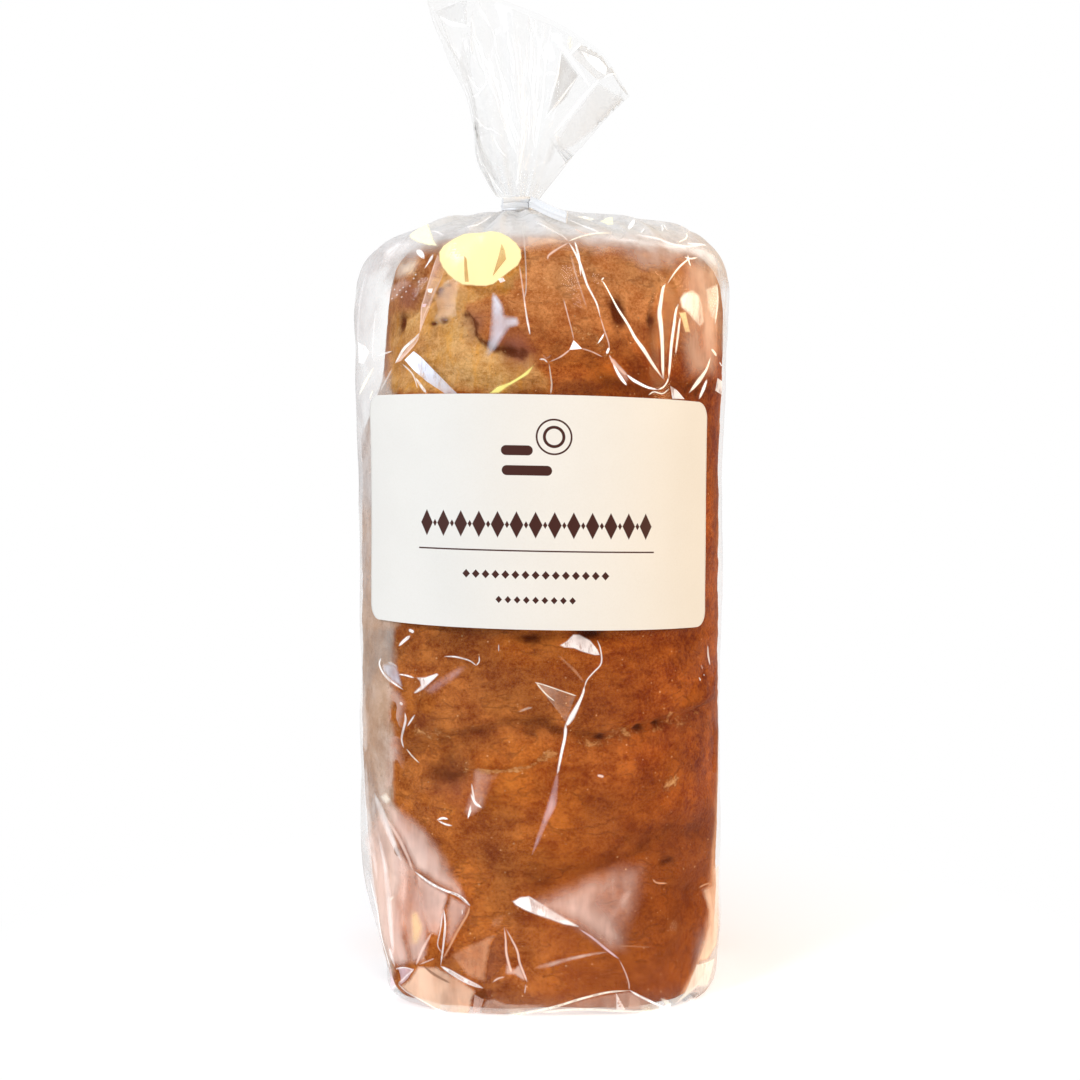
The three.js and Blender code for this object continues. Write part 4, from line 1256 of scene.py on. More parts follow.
# facets and milky sheets, partly the film's haze and partly painted reflections, sheen and shade: tone, width
# of the soft edge, strength in the middle, and corners, with each corner's own strength where it differs
filmSheets = [
    # the left shoulder
    ("pink", 0.3, 0.35, [(-31.5, 230.8, 0.35), (-32.8, 226.3, 0.4), (-34, 222.3, 0.45), (-35.3, 217.4, 0.4),
        (-36.3, 214, 0.35), (-36.5, 209.6, 0.3), (-36.9, 206.3, 0.5), (-36.3, 208.4, 0.3),
        (-35.3, 211.9, 0.3), (-34, 214.6, 0.35), (-32.4, 218.4, 0.4), (-30.9, 221.2, 0.3),
        (-29.2, 225.2, 0.2)]),
    ("pink", 0.2, 0.45, [(-36.9, 206.3, 0.5), (-45, 197.5, 0.6), (-43.2, 198.1, 0.5), (-40.2, 200.8, 0.35),
        (-37.7, 203.8, 0.3)]),
    ("cream", 3.5, 0.42, [(-47, 223.5, 0.4), (-45, 230, 0.45), (-38, 231.8, 0.4), (-36, 228, 0.4),
        (-39, 224.2, 0.5), (-43.5, 222.2, 0.45)]),
    # the painted reflection of a round lamp, whiter over its upper left in the next row
    ("yellow", 0.5, 0.97, [(-31.3, 231.5), (-30, 233.6), (-27, 235.7), (-23.6, 237.2), (-19.3, 237.6),
        (-15.5, 238.3), (-12.5, 237.6), (-9.4, 235.7), (-7.1, 233.6), (-5.7, 231.1), (-5.4, 228.3),
        (-6.6, 225.8), (-9.4, 223.7), (-12.1, 221.6), (-14, 220.1), (-16.3, 219.5), (-19.3, 219.7),
        (-23.6, 220.2), (-25.9, 221.6), (-28.2, 223.7), (-30, 226.1), (-31.1, 228.6)]),
    ("white", 6, 0.5, [(-31.6, 230), (-28.5, 235.6), (-20, 238.6), (-13.5, 238), (-17, 232), (-22.5, 226.5),
        (-26, 223.5)]),
    ("paleYellow", 0.6, 0.85, [(-42.2, 240.4, 0.9), (-38.3, 242.7, 0.9), (-36.2, 244.1, 0.9),
        (-36, 244.3, 0.9), (-34.5, 240.1, 0.9), (-33, 236.2, 0.9), (-31.3, 233.3, 0.9), (-34.7, 234, 0.9),
        (-38.2, 235.5, 0.9), (-41.1, 237.6, 0.9)]),
    ("blue", 1.6, 0.45, [(-14.5, 218.8, 0.6), (-13.1, 217.2, 1), (-11.1, 214.4, 0.95), (-10.2, 210.9, 0.5),
        (-6.5, 210.3, 0.8), (-5.6, 207.4, 0.5), (-8.8, 206.7, 0.6), (-10.7, 204, 0.75), (-12.3, 201.3, 0.5),
        (-15.8, 197.5, 0.15), (-18.5, 195.6, 0), (-16.5, 200.2, 0.35), (-15.6, 204.1, 0.5),
        (-15.2, 209.1, 0.5), (-15, 213, 0.6)]),
    ("blue", 0.35, 0.9, [(-41.9, 198.3, 1), (-38.9, 200.8, 0.95), (-36.4, 198.8, 0.95), (-33.1, 194.9, 0.9),
        (-28.3, 190, 0.7), (-25.1, 187.3, 0.4), (-28.9, 187.4, 0.5), (-34.8, 191.4, 0.8), (-38.9, 195, 1)]),
    ("lemon", 0.5, 0.95, [(-15.7, 187.1, 0.9), (-13, 189.3, 0.95), (-9.2, 190.6, 0.9), (-5.4, 192.9, 0.8),
        (-0.4, 197.1, 0.2), (-3.4, 192.7, 0.7), (-9.6, 189, 0.5), (-12.3, 187.1, 0.6)]),
    ("white", 0.4, 0.67, [(-59.1, 206.1, 0.7), (-57.1, 203.1, 0.8), (-55.9, 204.2, 0.7), (-54, 201.8, 0.5),
        (-56.4, 198.5, 0.6), (-58.8, 199.2, 0.7)]),
    ("shade", 1, 0.44, [(-46.2, 195.3, 0.45), (-50.3, 191.6, 0.4), (-52.7, 188.2, 0.4),
        (-46.2, 187.7, 0.5)]),
    ("white", 0.25, 0.9, [(-34.5, 219.8), (-32.8, 219.7), (-33.2, 218.4), (-34.4, 218.7)]),
    ("lilac", 0.25, 0.8, [(-36.3, 215.2), (-34.7, 215.1), (-35.2, 214.1), (-36.3, 214.3)]),
    ("pink", 1.2, 0.32, [(-49.6, 219.5, 0.3), (-46.5, 222, 0.35), (-42.2, 223.9, 0.4), (-39.2, 222.3, 0.3),
        (-42.5, 219, 0.25), (-46.3, 215.7, 0.3)]),
    ("white", 3, 0.25, [(-50.4, 235.5, 0.6), (-46.5, 239, 0.5), (-41.1, 237.6, 0.35), (-34.8, 235, 0.2),
        (-39.6, 232.3, 0.15), (-44.6, 228.5, 0.2), (-48, 223.9, 0.25), (-50.7, 221.9, 0.5)]),
    ("white", 0.3, 0.72, [(-12.7, 221.8, 0.7), (-11.2, 222.3, 0.9), (-10.4, 221.2, 0.7),
        (-12, 220.6, 0.6)]),
    # the right shoulder
    ("peach", 1, 0.3, [(-3.9, 235.8, 0.5), (-3.9, 231.5, 0.1), (7.4, 233.4, 0.1), (8.8, 234, 0.3),
        (3.6, 235.4, 0.5)]),
    ("white", 2, 0.4, [(11.4, 235, 0.5), (22.2, 237.3, 0.6), (26.2, 236.2, 0.65), (38.5, 236, 0.7),
        (52.1, 235.9, 0.7), (56.2, 234.6, 0.75), (59.6, 227.5, 0.45), (53.5, 229.7, 0.25), (46.8, 232, 0.2),
        (38.3, 232.7, 0.25), (32.1, 233.4, 0.25), (26, 233.9, 0.25), (18.1, 234.4, 0.2)]),
    ("grey", 0.6, 0.47, [(22, 240.4, 0.5), (26.6, 241.5, 0.5), (26, 236.2, 0.55), (23.7, 234.6, 0.3),
        (22.2, 236.9, 0.5)]),
    ("cream", 0.3, 0.82, [(12.2, 247.6, 0.8), (14.9, 247.3, 0.9), (17.8, 245.9, 0.8), (16.2, 244.6, 0.8)]),
    ("paleYellow", 0.3, 0.85, [(19.3, 244.3, 0.85), (21.3, 245.8, 0.9), (23.3, 246, 0.9),
        (23.3, 242.3, 0.8), (21.4, 242.5, 0.8)]),
    ("cream", 0.8, 0.95, [(43.1, 217.4, 1), (44.5, 219.4, 0.95), (47.6, 220.7, 0.95), (50.1, 219.4, 0.95),
        (51.1, 216.2, 0.9), (52, 211, 0.75), (50.2, 208.8, 0.75), (47.9, 210.9, 0.85), (45.8, 212.9, 0.95),
        (43.6, 214.5, 0.98)]),
    ("gold", 0.5, 0.95, [(42.8, 213, 1), (45.4, 213.6, 0.95), (46.2, 210.3, 0.95), (47, 207, 0.8),
        (44.8, 206.7, 0.6), (43.9, 210.1, 0.8)]),
    ("cream", 1, 0.7, [(52.2, 221.7, 0.8), (56.9, 224.3, 0.85), (57, 218.5, 0.8), (56.2, 211.1, 0.4),
        (54.2, 212.6, 0.4), (52.8, 215.6, 0.5)]),
    ("white", 0.4, 0.86, [(40.1, 190.1, 0.7), (42.2, 189, 0.95), (44.9, 186.3, 0.9), (40.8, 186.2, 0.9)]),
    ("white", 0.4, 0.84, [(56.8, 193.9, 0.8), (58.9, 193.1, 0.9), (58.8, 188.8, 0.85), (56, 189.8, 0.8)]),
    # a painted warm sheen on the right shoulder
    ("peach", 6, 0.42, [(44, 232, 0.3), (58.5, 231, 0.5), (60, 210.4, 0.55), (58, 193, 0.3),
        (43.9, 190.6, 0.15), (41, 208.5, 0.25)]),
    ("white", 0.12, 0.97, [(10.1, 203.2, 0.95), (11.2, 202, 1), (12.7, 200.6, 0.95), (10.8, 200.9, 1),
        (8.8, 200.2, 0.95), (10, 201.7, 1)]),
    ("pink", 0.5, 0.31, [(20.9, 198.9, 0.3), (23.2, 196.1, 0.3), (26.3, 193.3, 0.35), (26.9, 191.9, 0.4),
        (26.4, 189.8, 0.2), (24, 193.4, 0.3)]),
    ("grey", 0.6, 0.37, [(55.6, 234.9, 0.4), (57.9, 231.4, 0.4), (61.1, 211.6, 0.4), (60.7, 194.7, 0.35),
        (59, 198.3, 0.3), (59.2, 214.9, 0.35)]),
    # below the label
    ("white", 0.5, 0.7, [(-38.5, 100.6, 0.9), (-34.9, 101.1, 1), (-31.3, 102.5, 0.95), (-30.6, 101.9, 0.9),
        (-33.4, 99.2, 0.95), (-35.6, 97, 0.9), (-38.4, 95.3, 0.95), (-39, 95.9, 0.9), (-36.7, 98.2, 0.85),
        (-37, 99.5, 0.8)]),
    ("blue", 1.2, 0.47, [(-50, 103.6, 0.4), (-45.7, 104.5, 0.55), (-44, 103.2, 0.5), (-42, 96.3, 0.4),
        (-46.5, 98.5, 0.55), (-49.6, 101.1, 0.4)]),
    ("lilac", 2, 0.28, [(-37, 96.9, 0.3), (-28.1, 102.8, 0.35), (-23, 105.7, 0.35), (-21, 104.8, 0.25),
        (-26.4, 100, 0.2), (-32.8, 95.3, 0.15)]),
    ("pink", 3, 0.36, [(-48.4, 98.2, 0.2), (-42.8, 95.9, 0.3), (-40.6, 92.5, 0.35), (-42.1, 85.5, 0.35),
        (-42.5, 79.7, 0.3), (-41.4, 74.2, 0.25), (-42.1, 65.3, 0.25), (-49.8, 63.5, 0.4),
        (-48.5, 79.7, 0.2), (-50.1, 89.6, 0.1)]),
    ("shade", 2, 0.27, [(-58.3, 114, 0.3), (-44.6, 116.3, 0.4), (-44.6, 101.4, 0.3), (-50, 102.7, 0.25),
        (-53.8, 95.7, 0.2), (-58.6, 90, 0.15)]),
    ("white", 0.45, 0.6, [(5.6, 111.6, 0.95), (8.1, 113.1, 0.85), (9.9, 114.9, 0.7), (11.9, 114.9, 0.4),
        (15.2, 113, 0.7), (17.4, 110.2, 1), (18.1, 108.4, 1), (16.4, 108.4, 0.95), (12.8, 109.4, 0.9),
        (10.1, 110.6, 0.9), (7.2, 110.8, 0.95)]),
    ("cream", 0.3, 0.15, [(-1.5, 100.5, 0.2), (10.7, 96.5, 0.1), (7.7, 88.8, 0.15), (4.2, 95, 0.15)]),
    ("pink", 2, 0.25, [(-20, 74.9, 0.3), (-13.9, 72.9, 0.35), (-10.2, 74.9, 0.3), (-13.9, 70.1, 0.2),
        (-16.7, 62.2, 0.35), (-21.4, 59, 0.4), (-23.3, 60.8, 0.3), (-20.9, 68.9, 0.3)]),
    # the lower left corner
    ("pink", 3.2, 0.6, [(-51.1, 61.5, 0.3), (-45.8, 60.7, 0.4), (-38.7, 58.3, 0.3), (-31, 52, 0.12),
        (-25.4, 43.8, 0.12), (-21.1, 33, 0.7), (-24.9, 34.5, 0.7), (-29, 36.4, 0.65), (-39.2, 41.1, 0.8),
        (-42.5, 47, 0.75), (-46.4, 52.7, 0.65)]),
    ("pink", 1.2, 0.5, [(-38.5, 40.8, 0.8), (-29.2, 36.4, 0.6), (-27.4, 35.4, 0.65), (-28.9, 30.5, 0.6),
        (-29.5, 25.4, 0.5), (-30.8, 22.2, 0.5), (-34.1, 22.6, 0.5), (-35.7, 27.3, 0.45),
        (-37.5, 32.9, 0.3)]),
    ("pink", 1.5, 0.36, [(-28.9, 30.5, 0.3), (-27.4, 35.4, 0.5), (-21.1, 32.9, 0.35), (-22.9, 28.3, 0.3),
        (-25.9, 22.5, 0.25), (-28.9, 17.9, 0.25), (-28.7, 25.5, 0.2)]),
    ("pink", 2.5, 0.42, [(-44, 46, 0.5), (-37, 42, 0.45), (-33, 24, 0.4), (-34.5, 14, 0.4), (-40, 12, 0.5),
        (-44.5, 30, 0.5)]),
    ("pink", 3, 0.6, [(-56.9, 45.1, 0.6), (-51.7, 59.7, 0.4), (-45.8, 52.8, 0.6), (-39.2, 41.1, 0.6),
        (-40.2, 29.3, 0.45), (-41.1, 20.7, 0.5), (-38.6, 12.9, 0.5), (-46.9, 8, 0.6), (-50, 15.8, 0.55),
        (-54.2, 30.3, 0.5)]),
    ("lilac", 0.3, 0.54, [(-47.2, 7.6, 0.6), (-42.9, 10.7, 0.5), (-38.6, 11.3, 0.5), (-40.6, 7.9, 0.5),
        (-47, 0.3, 0.6)]),
    ("peach", 1, 0.6, [(-46.9, 0.7, 0.9), (-40.4, 7.8, 0.75), (-37.5, 12.6, 0.65), (-31.1, 13.4, 0.45),
        (-25, 11.1, 0.35), (-19, 7.5, 0.35), (-20.3, 4.7, 0.4), (-21, -0.8, 0.45), (-29.8, 0.4, 0.45),
        (-32.2, 0, 0.5), (-44.3, 4.5, 0.6), (-45.3, 5.4, 0.6)]),
    ("tan", 1.2, 0.3, [(-27.4, 17.6, 0.4), (-22, 21, 0.42), (-11.9, 25.8, 0.3), (-14.6, 21.7, 0.4),
        (-15.8, 15.2, 0.42), (-16.1, 9.7, 0.45), (-22, 11.6, 0.42)]),
    ("plum", 0.3, 0.23, [(-11.9, 25.8, 0.2), (-14.6, 21.7, 0.25), (-15.9, 15.2, 0.3), (-16, 10.3, 0.3),
        (-12.2, 14, 0.2), (-10, 16.6, 0.2), (-10.9, 24.8, 0.15)]),
    ("brown", 0.3, 0.5, [(-20.1, 6.1), (-17.1, 8.2), (-15.5, 5.7), (-18.1, 5)]),
    ("gold", 1.6, 0.4, [(-40.2, 29.3, 0.35), (-37.3, 29.4, 0.4), (-35.2, 24.3, 0.3), (-36.8, 18.8, 0.2),
        (-40.1, 18.3, 0.25)]),
    ("cream", 1, 0.45, [(-51.1, 61.5, 0.4), (-48.1, 63.4, 0.5), (-46.1, 61.4, 0.5), (-48.1, 59.1, 0.4)]),
    # the foot
    # the painted reflection of a window, a bright wedge
    ("white", 0.6, 1.0, [(-8.6, 34.6, 1), (-6.1, 36.1, 1), (-3.3, 36.5, 0.9), (-0.6, 35, 0.6),
        (3.6, 32.3, 0.6), (7, 30.2, 0.65), (11.9, 27.1, 0.9), (11.5, 26.6, 0.95), (7, 27.5, 1),
        (0.1, 30, 1), (-4.7, 31.9, 1), (-7.5, 33.4, 1)]),
    ("pink", 7, 0.2, [(-4.3, 35.5, 0.7), (2.2, 38.7, 0.45), (10, 42.5, 0.3), (24, 47, 0.2), (35, 46, 0.12),
        (33.5, 34.7, 0.1), (29.5, 26.4, 0.15), (27.4, 17, 0.25), (19.9, 18.3, 0.6), (13.7, 22.6, 0.85),
        (9.9, 25.7, 0.95), (5, 27.5, 0.95), (-1.2, 30, 0.95)]),
    ("pink", 0.8, 0.4, [(-10.1, 19.5, 0.4), (-9.2, 15.5, 0.45), (-7.8, 14.6, 0.45), (-6.1, 16.2, 0.35),
        (-3.9, 11, 0.5), (-5.2, 10.8, 0.4), (-7.5, 12.5, 0.5), (-10.6, 12.6, 0.4)]),
    ("tan", 1, 0.2, [(-15, 26.6, 0.3), (-14.4, 29.2, 0.3), (-12.5, 30.6, 0.25), (-10.1, 31.1, 0.15),
        (-10.9, 28.7, 0.25), (-11.9, 26.4, 0.3)]),
    ("pinkGrey", 0.8, 0.25, [(-19.1, -1.3, 0.4), (-16.2, 5.1, 0.55), (-13.8, 5.7, 0.6), (-10.3, 4.1, 0.5),
        (-3.4, 4, 0.45), (3.6, 3.7, 0.4), (-1.6, 2, 0.5), (-9.6, 0.4, 0.6), (-17.3, -1.4, 0.6)]),
    ("pink", 0.3, 0.38, [(-20.5, -1.3, 0.4), (-19.7, 6.4, 0.3), (-16.9, 5, 0.35), (-17.9, 2, 0.4),
        (-18.7, -1.2, 0.45)]),
    ("pinkGrey", 0.6, 0.28, [(9.1, 4.1, 0.25), (17.5, 6.2, 0.35), (26.7, 7.5, 0.4), (30.6, 4.7, 0.45),
        (30.7, 0.7, 0.45), (21, 1.9, 0.4), (14, 2, 0.35), (2.2, 1.7, 0.4)]),
    ("white", 0.3, 0.4, [(22.9, 6.9, 0.4), (24.4, 4.3, 0.35), (25.7, 1.6, 0.45), (23, 1.8, 0.4)]),
    ("peach", 1.2, 0.5, [(54.6, 39.1, 0.3), (58.5, 35.8, 0.6), (57.6, 20.2, 0.6), (56.5, 13, 0.65),
        (52.3, 10.4, 0.7), (48.3, 11.9, 0.6), (52.5, 21.6, 0.45), (52.9, 25.4, 0.45), (50.2, 33.1, 0.3),
        (54.6, 32.5, 0.5)]),
    ("cream", 0.6, 0.6, [(48.3, 11.9, 0.6), (52.3, 10.4, 0.8), (56.2, 9.5, 0.6), (53.8, 3.5, 0.5),
        (50.9, 0.3, 0.5), (52.8, 1.9, 0.6), (48.7, 4.2, 0.6), (39.5, 0, 0.5), (41, 0.9, 0.5),
        (44.1, 4.2, 0.5)]),
    ("pinkGrey", 0.3, 0.5, [(47, 0.1), (52.9, 1.8), (50.7, 0.1), (47.7, 0.2), (42.8, 0)]),
    ("pinkGrey", 0.6, 0.32, [(26.9, 7.7, 0.3), (33.7, 3.2, 0.4), (37.9, 0.4, 0.5), (39.7, 1.7, 0.5),
        (32.3, 0, 0.4), (33.8, 0.3, 0.4), (26.2, 1.6, 0.4)]),
    ("pink", 2, 0.29, [(20, 30.5, 0.35), (25.4, 37, 0.3), (28.6, 36.6, 0.2), (25.1, 30.1, 0.25),
        (20, 25.9, 0.35)]),
    # dull creases over the golden end
    ("ochre", 0.12, 0.9, [(-23.1, 229.5, 0.7), (-22.4, 228.5, 0.8), (-21.9, 223.1, 0.8),
        (-21.6, 221.2, 0.7), (-22.8, 221.2, 0.6), (-23, 224.8, 0.7)]),
    ("ochre", 0.12, 0.8, [(-11.7, 233.2, 0.5), (-10.7, 230.9, 0.6), (-10.3, 228, 0.7), (-11.6, 226.8, 0.7),
        (-13.1, 224.4, 0.8), (-14.3, 222.7, 0.6), (-13.2, 226.5, 0.7), (-12.2, 229.3, 0.6)]),
]


def surfaceTree(piece):
    points = [Vector(v.co) for v in piece.data.vertices]
    return bvhtree.BVHTree.FromPolygons(points, [tuple(face.vertices) for face in piece.data.polygons])


def hangOn(tree, x, z, lift):
    # places just in front of the film, where points seen square on meet it
    places = np.zeros((len(x), 3))
    met = np.ones(len(x))
    for k, (across, up) in enumerate(zip(x, z)):
        found = tree.ray_cast(Vector((across, -120, up)) * mm, Vector((0, 1, 0)))[0]
        if found is None:
            met[k] = 0
            found = tree.find_nearest(Vector((across, -30, up)) * mm)[0]
        places[k] = found[:]
    places /= mm
    places[:, 1] -= lift
    return places, met


def writeTone(piece, name):
    tint = piece.data.attributes.new("tint", "FLOAT_COLOR", "POINT")
    tint.data.foreach_set("color", np.tile(tone(*foldGlintAndShadeTones[name]), len(piece.data.vertices)))


def makeLine(tree, row, lift):
    name, strength, widths, line = row
    line = np.array(line, float)
    length = np.linalg.norm(np.diff(line, axis=0), axis=1).sum()
    steps = max(5, round(length / foldShape["step"]))
    centre = smoothLine(line, steps)
    ahead = unit(np.gradient(centre, axis=0))
    aside = np.stack([-ahead[:, 1], ahead[:, 0]], -1)
    share = np.linspace(0, 1, steps + 1)
    taper = fadeEnds(share, 0.12)
    width = np.interp(share, np.linspace(0, 1, len(widths)), widths) * (0.35 + 0.65 * taper)
    offset = np.linspace(-1, 1, 5)[:, None]
    flat = centre[None] + aside[None] * (offset * width)[..., None]
    piece = newGrid("fold", steps, 4)
    places, met = hangOn(tree, flat[..., 0].ravel(), flat[..., 1].ravel(), lift)
    writePoints(piece, places)
    value = strength * (1 - np.abs(offset) ** 2.2) * (0.3 + 0.7 * taper)
    writeNumbers(piece, "haze", value.ravel() * met)
    writeTone(piece, name)
    return piece


def sheetPoints(outline, spacing):
    # points along a sheet's outline and, in staggered rows, inside it, joined into triangles
    rim = []
    for a, b in zip(outline, np.roll(outline, -1, axis=0)):
        count = max(1, round(np.linalg.norm(b - a) / foldShape["spacing"]))
        rim += [tuple(a + (b - a) * k / count) for k in range(count)]
    low, high = outline.min(0), outline.max(0)
    gx, gz = np.meshgrid(np.arange(low[0], high[0], spacing), np.arange(low[1], high[1], spacing * 0.87))
    gx = gx + spacing * 0.5 * (np.arange(len(gx)) % 2)[:, None]
    deepEnough = insideOutline(gx, gz, [tuple(c) for c in outline]) > 0.35 * spacing
    inner = list(zip(gx[deepEnough], gz[deepEnough]))
    loop = [(k, (k + 1) % len(rim)) for k in range(len(rim))]
    made = geometry.delaunay_2d_cdt([Vector(p) for p in rim + inner], loop, [], 1, 1e-5, False)
    return np.array([tuple(v) for v in made[0]]), made[2]


def makeSheet(tree, row, lift):
    name, soft, middle, corners = row
    corners = np.array([(*c, middle)[:3] for c in corners], float)
    outline = corners[:, :2]
    crisp = soft <= foldShape["crisp"]
    spacing = foldShape["spacing"] if crisp else min(foldShape["spacing"], soft * 0.7)
    flat, faces = sheetPoints(outline, spacing)
    places, met = hangOn(tree, flat[:, 0], flat[:, 1], lift)
    mesh = bpy.data.meshes.new("sheet")
    mesh.from_pydata((places * mm).tolist(), [], faces)
    piece = bpy.data.objects.new("sheet", mesh)
    bpy.context.collection.objects.link(piece)
    # each corner's strength counts most near it
    gap = ((flat[:, None] - outline[None]) ** 2).sum(-1) + 0.3
    value = (corners[:, 2] / gap**1.5).sum(-1) / (1 / gap**1.5).sum(-1)
    edge = np.maximum(insideOutline(flat[:, 0], flat[:, 1], [tuple(c) for c in outline]), 0)
    value = blendTo(value, middle, 0.35 * ease(edge, 0, max(edge.max(), 0.1)))
    if not crisp:
        value *= ease(edge, 0, soft)
    writeNumbers(piece, "haze", value * met)
    writeTone(piece, name)
    return piece


def makeFoldsAndGlints(name, tree, lines, sheets):
    parts = []
    for make, rows in ((makeSheet, sheets), (makeLine, lines)):
        for row in rows:
            parts.append(make(tree, row, foldShape["lift"] + foldShape["layer"] * len(parts)))
    piece = joinPieces(name, parts)
    bpy.ops.object.shade_smooth()
    return piece


def foldAndGlintMaterial():
    material, tree = newMaterial("film_folds_and_glints")
    place = objectPlace(tree)
    streaks = drawnOut(tree, place, (1.0, 1.0, 0.22), 0.25)
    tint = addNode(tree, "Attribute", {"attribute_name": "tint"}).outputs["Color"]
    haze = painted(tree, "haze")
    uneven = plus(tree, cloud(tree, place, 12.0, 3, 0.5), cloud(tree, streaks, 5.0, 3, 0.5))
    uneven = stretch(tree, uneven, 0.75, 1.25, -0.6, 0.6)
    # the whitest glints are a little broken up
    whiteness = addNode(tree, "SeparateColor", None, {0: tint}).outputs[2]
    whitest = stretch(tree, whiteness, 0.7, 0.85)
    broken = stretch(tree, cloud(tree, streaks, 2.6, 6, 0.75), 0.4, 0.54, -1.0, 0.0)
    broken = times(tree, broken, whitest)
    broken = times(tree, broken, stretch(tree, haze, 0.62, 0.84))
    broken = times(tree, broken, stretch(tree, haze, 1.0, 0.9, 0.3, 0.8))
    half = times(tree, haze, minus(tree, 1.0, haze))
    share = plus(tree, haze, times(tree, uneven, half))
    share = plus(tree, share, times(tree, broken, 0.55), True)
    # and they glow a little by themselves, the whitest most, a painted light that stands in for a mirrored
    # lamp
    core = times(tree, whitest, stretch(tree, haze, 0.8, 1.1, 0, 0.45))
    gleam = addNode(tree, "Emission", None, {"Color": tint, "Strength": plus(tree, core, 0.32)}).outputs[0]
    bright = addNode(tree, "AddShader", None, {0: milkySheet(tree, tint, 0.3), 1: gleam}).outputs[0]
    finishShader(tree, mixShaders(tree, share, clearSheet(tree), bright))
    return material


foldedAndGlintedFilm = foldAndGlintMaterial()
filmFoldsAndGlints = makeFoldsAndGlints("film_folds_and_glints", surfaceTree(films[0]), filmLines, filmSheets)
finishPiece(filmFoldsAndGlints, foldedAndGlintedFilm, "bag")
print("film folds:", len(filmFoldsAndGlints.data.polygons), "faces")

# The gathered neck and the open mouth

mouthShape = {
    "columns": 300,
    "rows": 130,
    "reach": 36.3,
    "depth": 9.0,
    "height": 70.5,
    "slant": 21.4,
    "tip": 14.0,
    "drop": 8.0,
    "lean": 6.0,
    "wave": 1.2,
    "sway": 0.08,
    "start": 0.045,
    "pleats": 9,
    "pleatDepth": 3.4,
    "finePleats": 23,
    "finePleatDepth": 1.3,
    "crumple": 0.8,
    "crumpleNodes": 130,
    "crumpleReach": 75,
    "seed": 5,
    "streaks": 46,
    "streakSeed": 6,
    "streakStart": (-3.5, 255.0),
    "streakTop": 317.0,
}


def makeMouth():
    shape = mouthShape
    columns, rows = shape["columns"], shape["rows"]
    piece = newGrid("bag_mouth", columns, rows)
    angle = np.linspace(-math.pi, math.pi, columns + 1)[None, :]
    share = np.linspace(shape["start"], 1, rows + 1)[:, None]
    s, c = np.sin(angle), np.cos(angle)
    shift, tie, neck = bagShape["neckShift"], bagShape["tieHeight"], bagShape["neckRadius"]
    # a smooth fan from the ring in the tie to the slanting edge
    droop = shape["tip"] * np.clip((s - 0.7) / 0.3, 0, 1) ** 2 + shape["drop"] * np.maximum(c, 0)
    edge = np.stack([
        shift + shape["reach"] * s,
        -shape["depth"] * c - shape["lean"] * s,
        tie + shape["height"] - shape["slant"] * s - droop + shape["wave"] * np.sin(5 * angle),
    ], -1)
    ring = np.stack([shift + neck * s, -neck * c, tie + 0 * s], -1)
    sway = shape["sway"] * np.maximum(-s, 0) * np.sin(2 * math.pi * share / 0.6) * np.sqrt(1 - share)
    spread = share ** blendTo(0.9, 1.12, np.maximum(s, 0)) + sway
    base = blendTo(ring, edge, spread[..., None])
    base[..., 2] = blendTo(ring[..., 2], edge[..., 2], share)
    outward = outwardOf(base)
    grid = base.shape[:2]
    # pleats from the tie, which die out towards the flat right side and the edge
    wobble = roughNoise(base.reshape(-1, 3), 22.0, 2, 6.0).reshape(grid)
    pleats = pleatWave(angle, shape["pleats"], 0.3 * np.sin(2 * angle + 0.5) + 0.22 * wobble) ** 1.4 - 0.4
    finePleats = pleatWave(angle, shape["finePleats"], 0.5 * np.sin(3 * angle) + 0.3 * wobble) - 0.5
    flatPart = ease(s, 0.3, 0.75)
    swell = np.sin(math.pi * np.clip(0.12 + 0.75 * share, 0, 1))
    lift = shape["pleatDepth"] * pleats * (1 - 0.85 * flatPart) * swell
    lift += shape["finePleatDepth"] * finePleats * (1 - 0.7 * flatPart) * (1 - ease(share, 0.35, 0.95))
    # crumpled facets on top
    dice = np.random.default_rng(shape["seed"])
    nodes = [(dice.uniform(-95, 95), dice.uniform(-5, 85)) for _ in range(shape["crumpleNodes"])]
    heights = [dice.uniform(-1, 1) for _ in nodes]
    reach = shape["crumpleReach"]
    around, upward = angle / math.pi * reach + 0 * share, share * reach + 0 * angle
    facets = facetField(nodes, heights, np.stack([around.ravel(), upward.ravel()], -1)).reshape(grid)
    lift += shape["crumple"] * facets * ease(share, 0.12, 0.4)
    lift *= ease(share, 0.0, 0.12)
    lift *= 1 - ease(np.abs(angle), math.pi - 0.25, math.pi)
    surface = base + outward * lift[..., None]
    surface[:, -1] = surface[:, 0]
    writePoints(piece, surface.reshape(-1, 3))
    writeNumbers(piece, "haze", 0.08 + 0.16 * (1 - ease(share, 0.05, 0.5)) + np.zeros(grid))
    closeSeams(piece)
    return piece


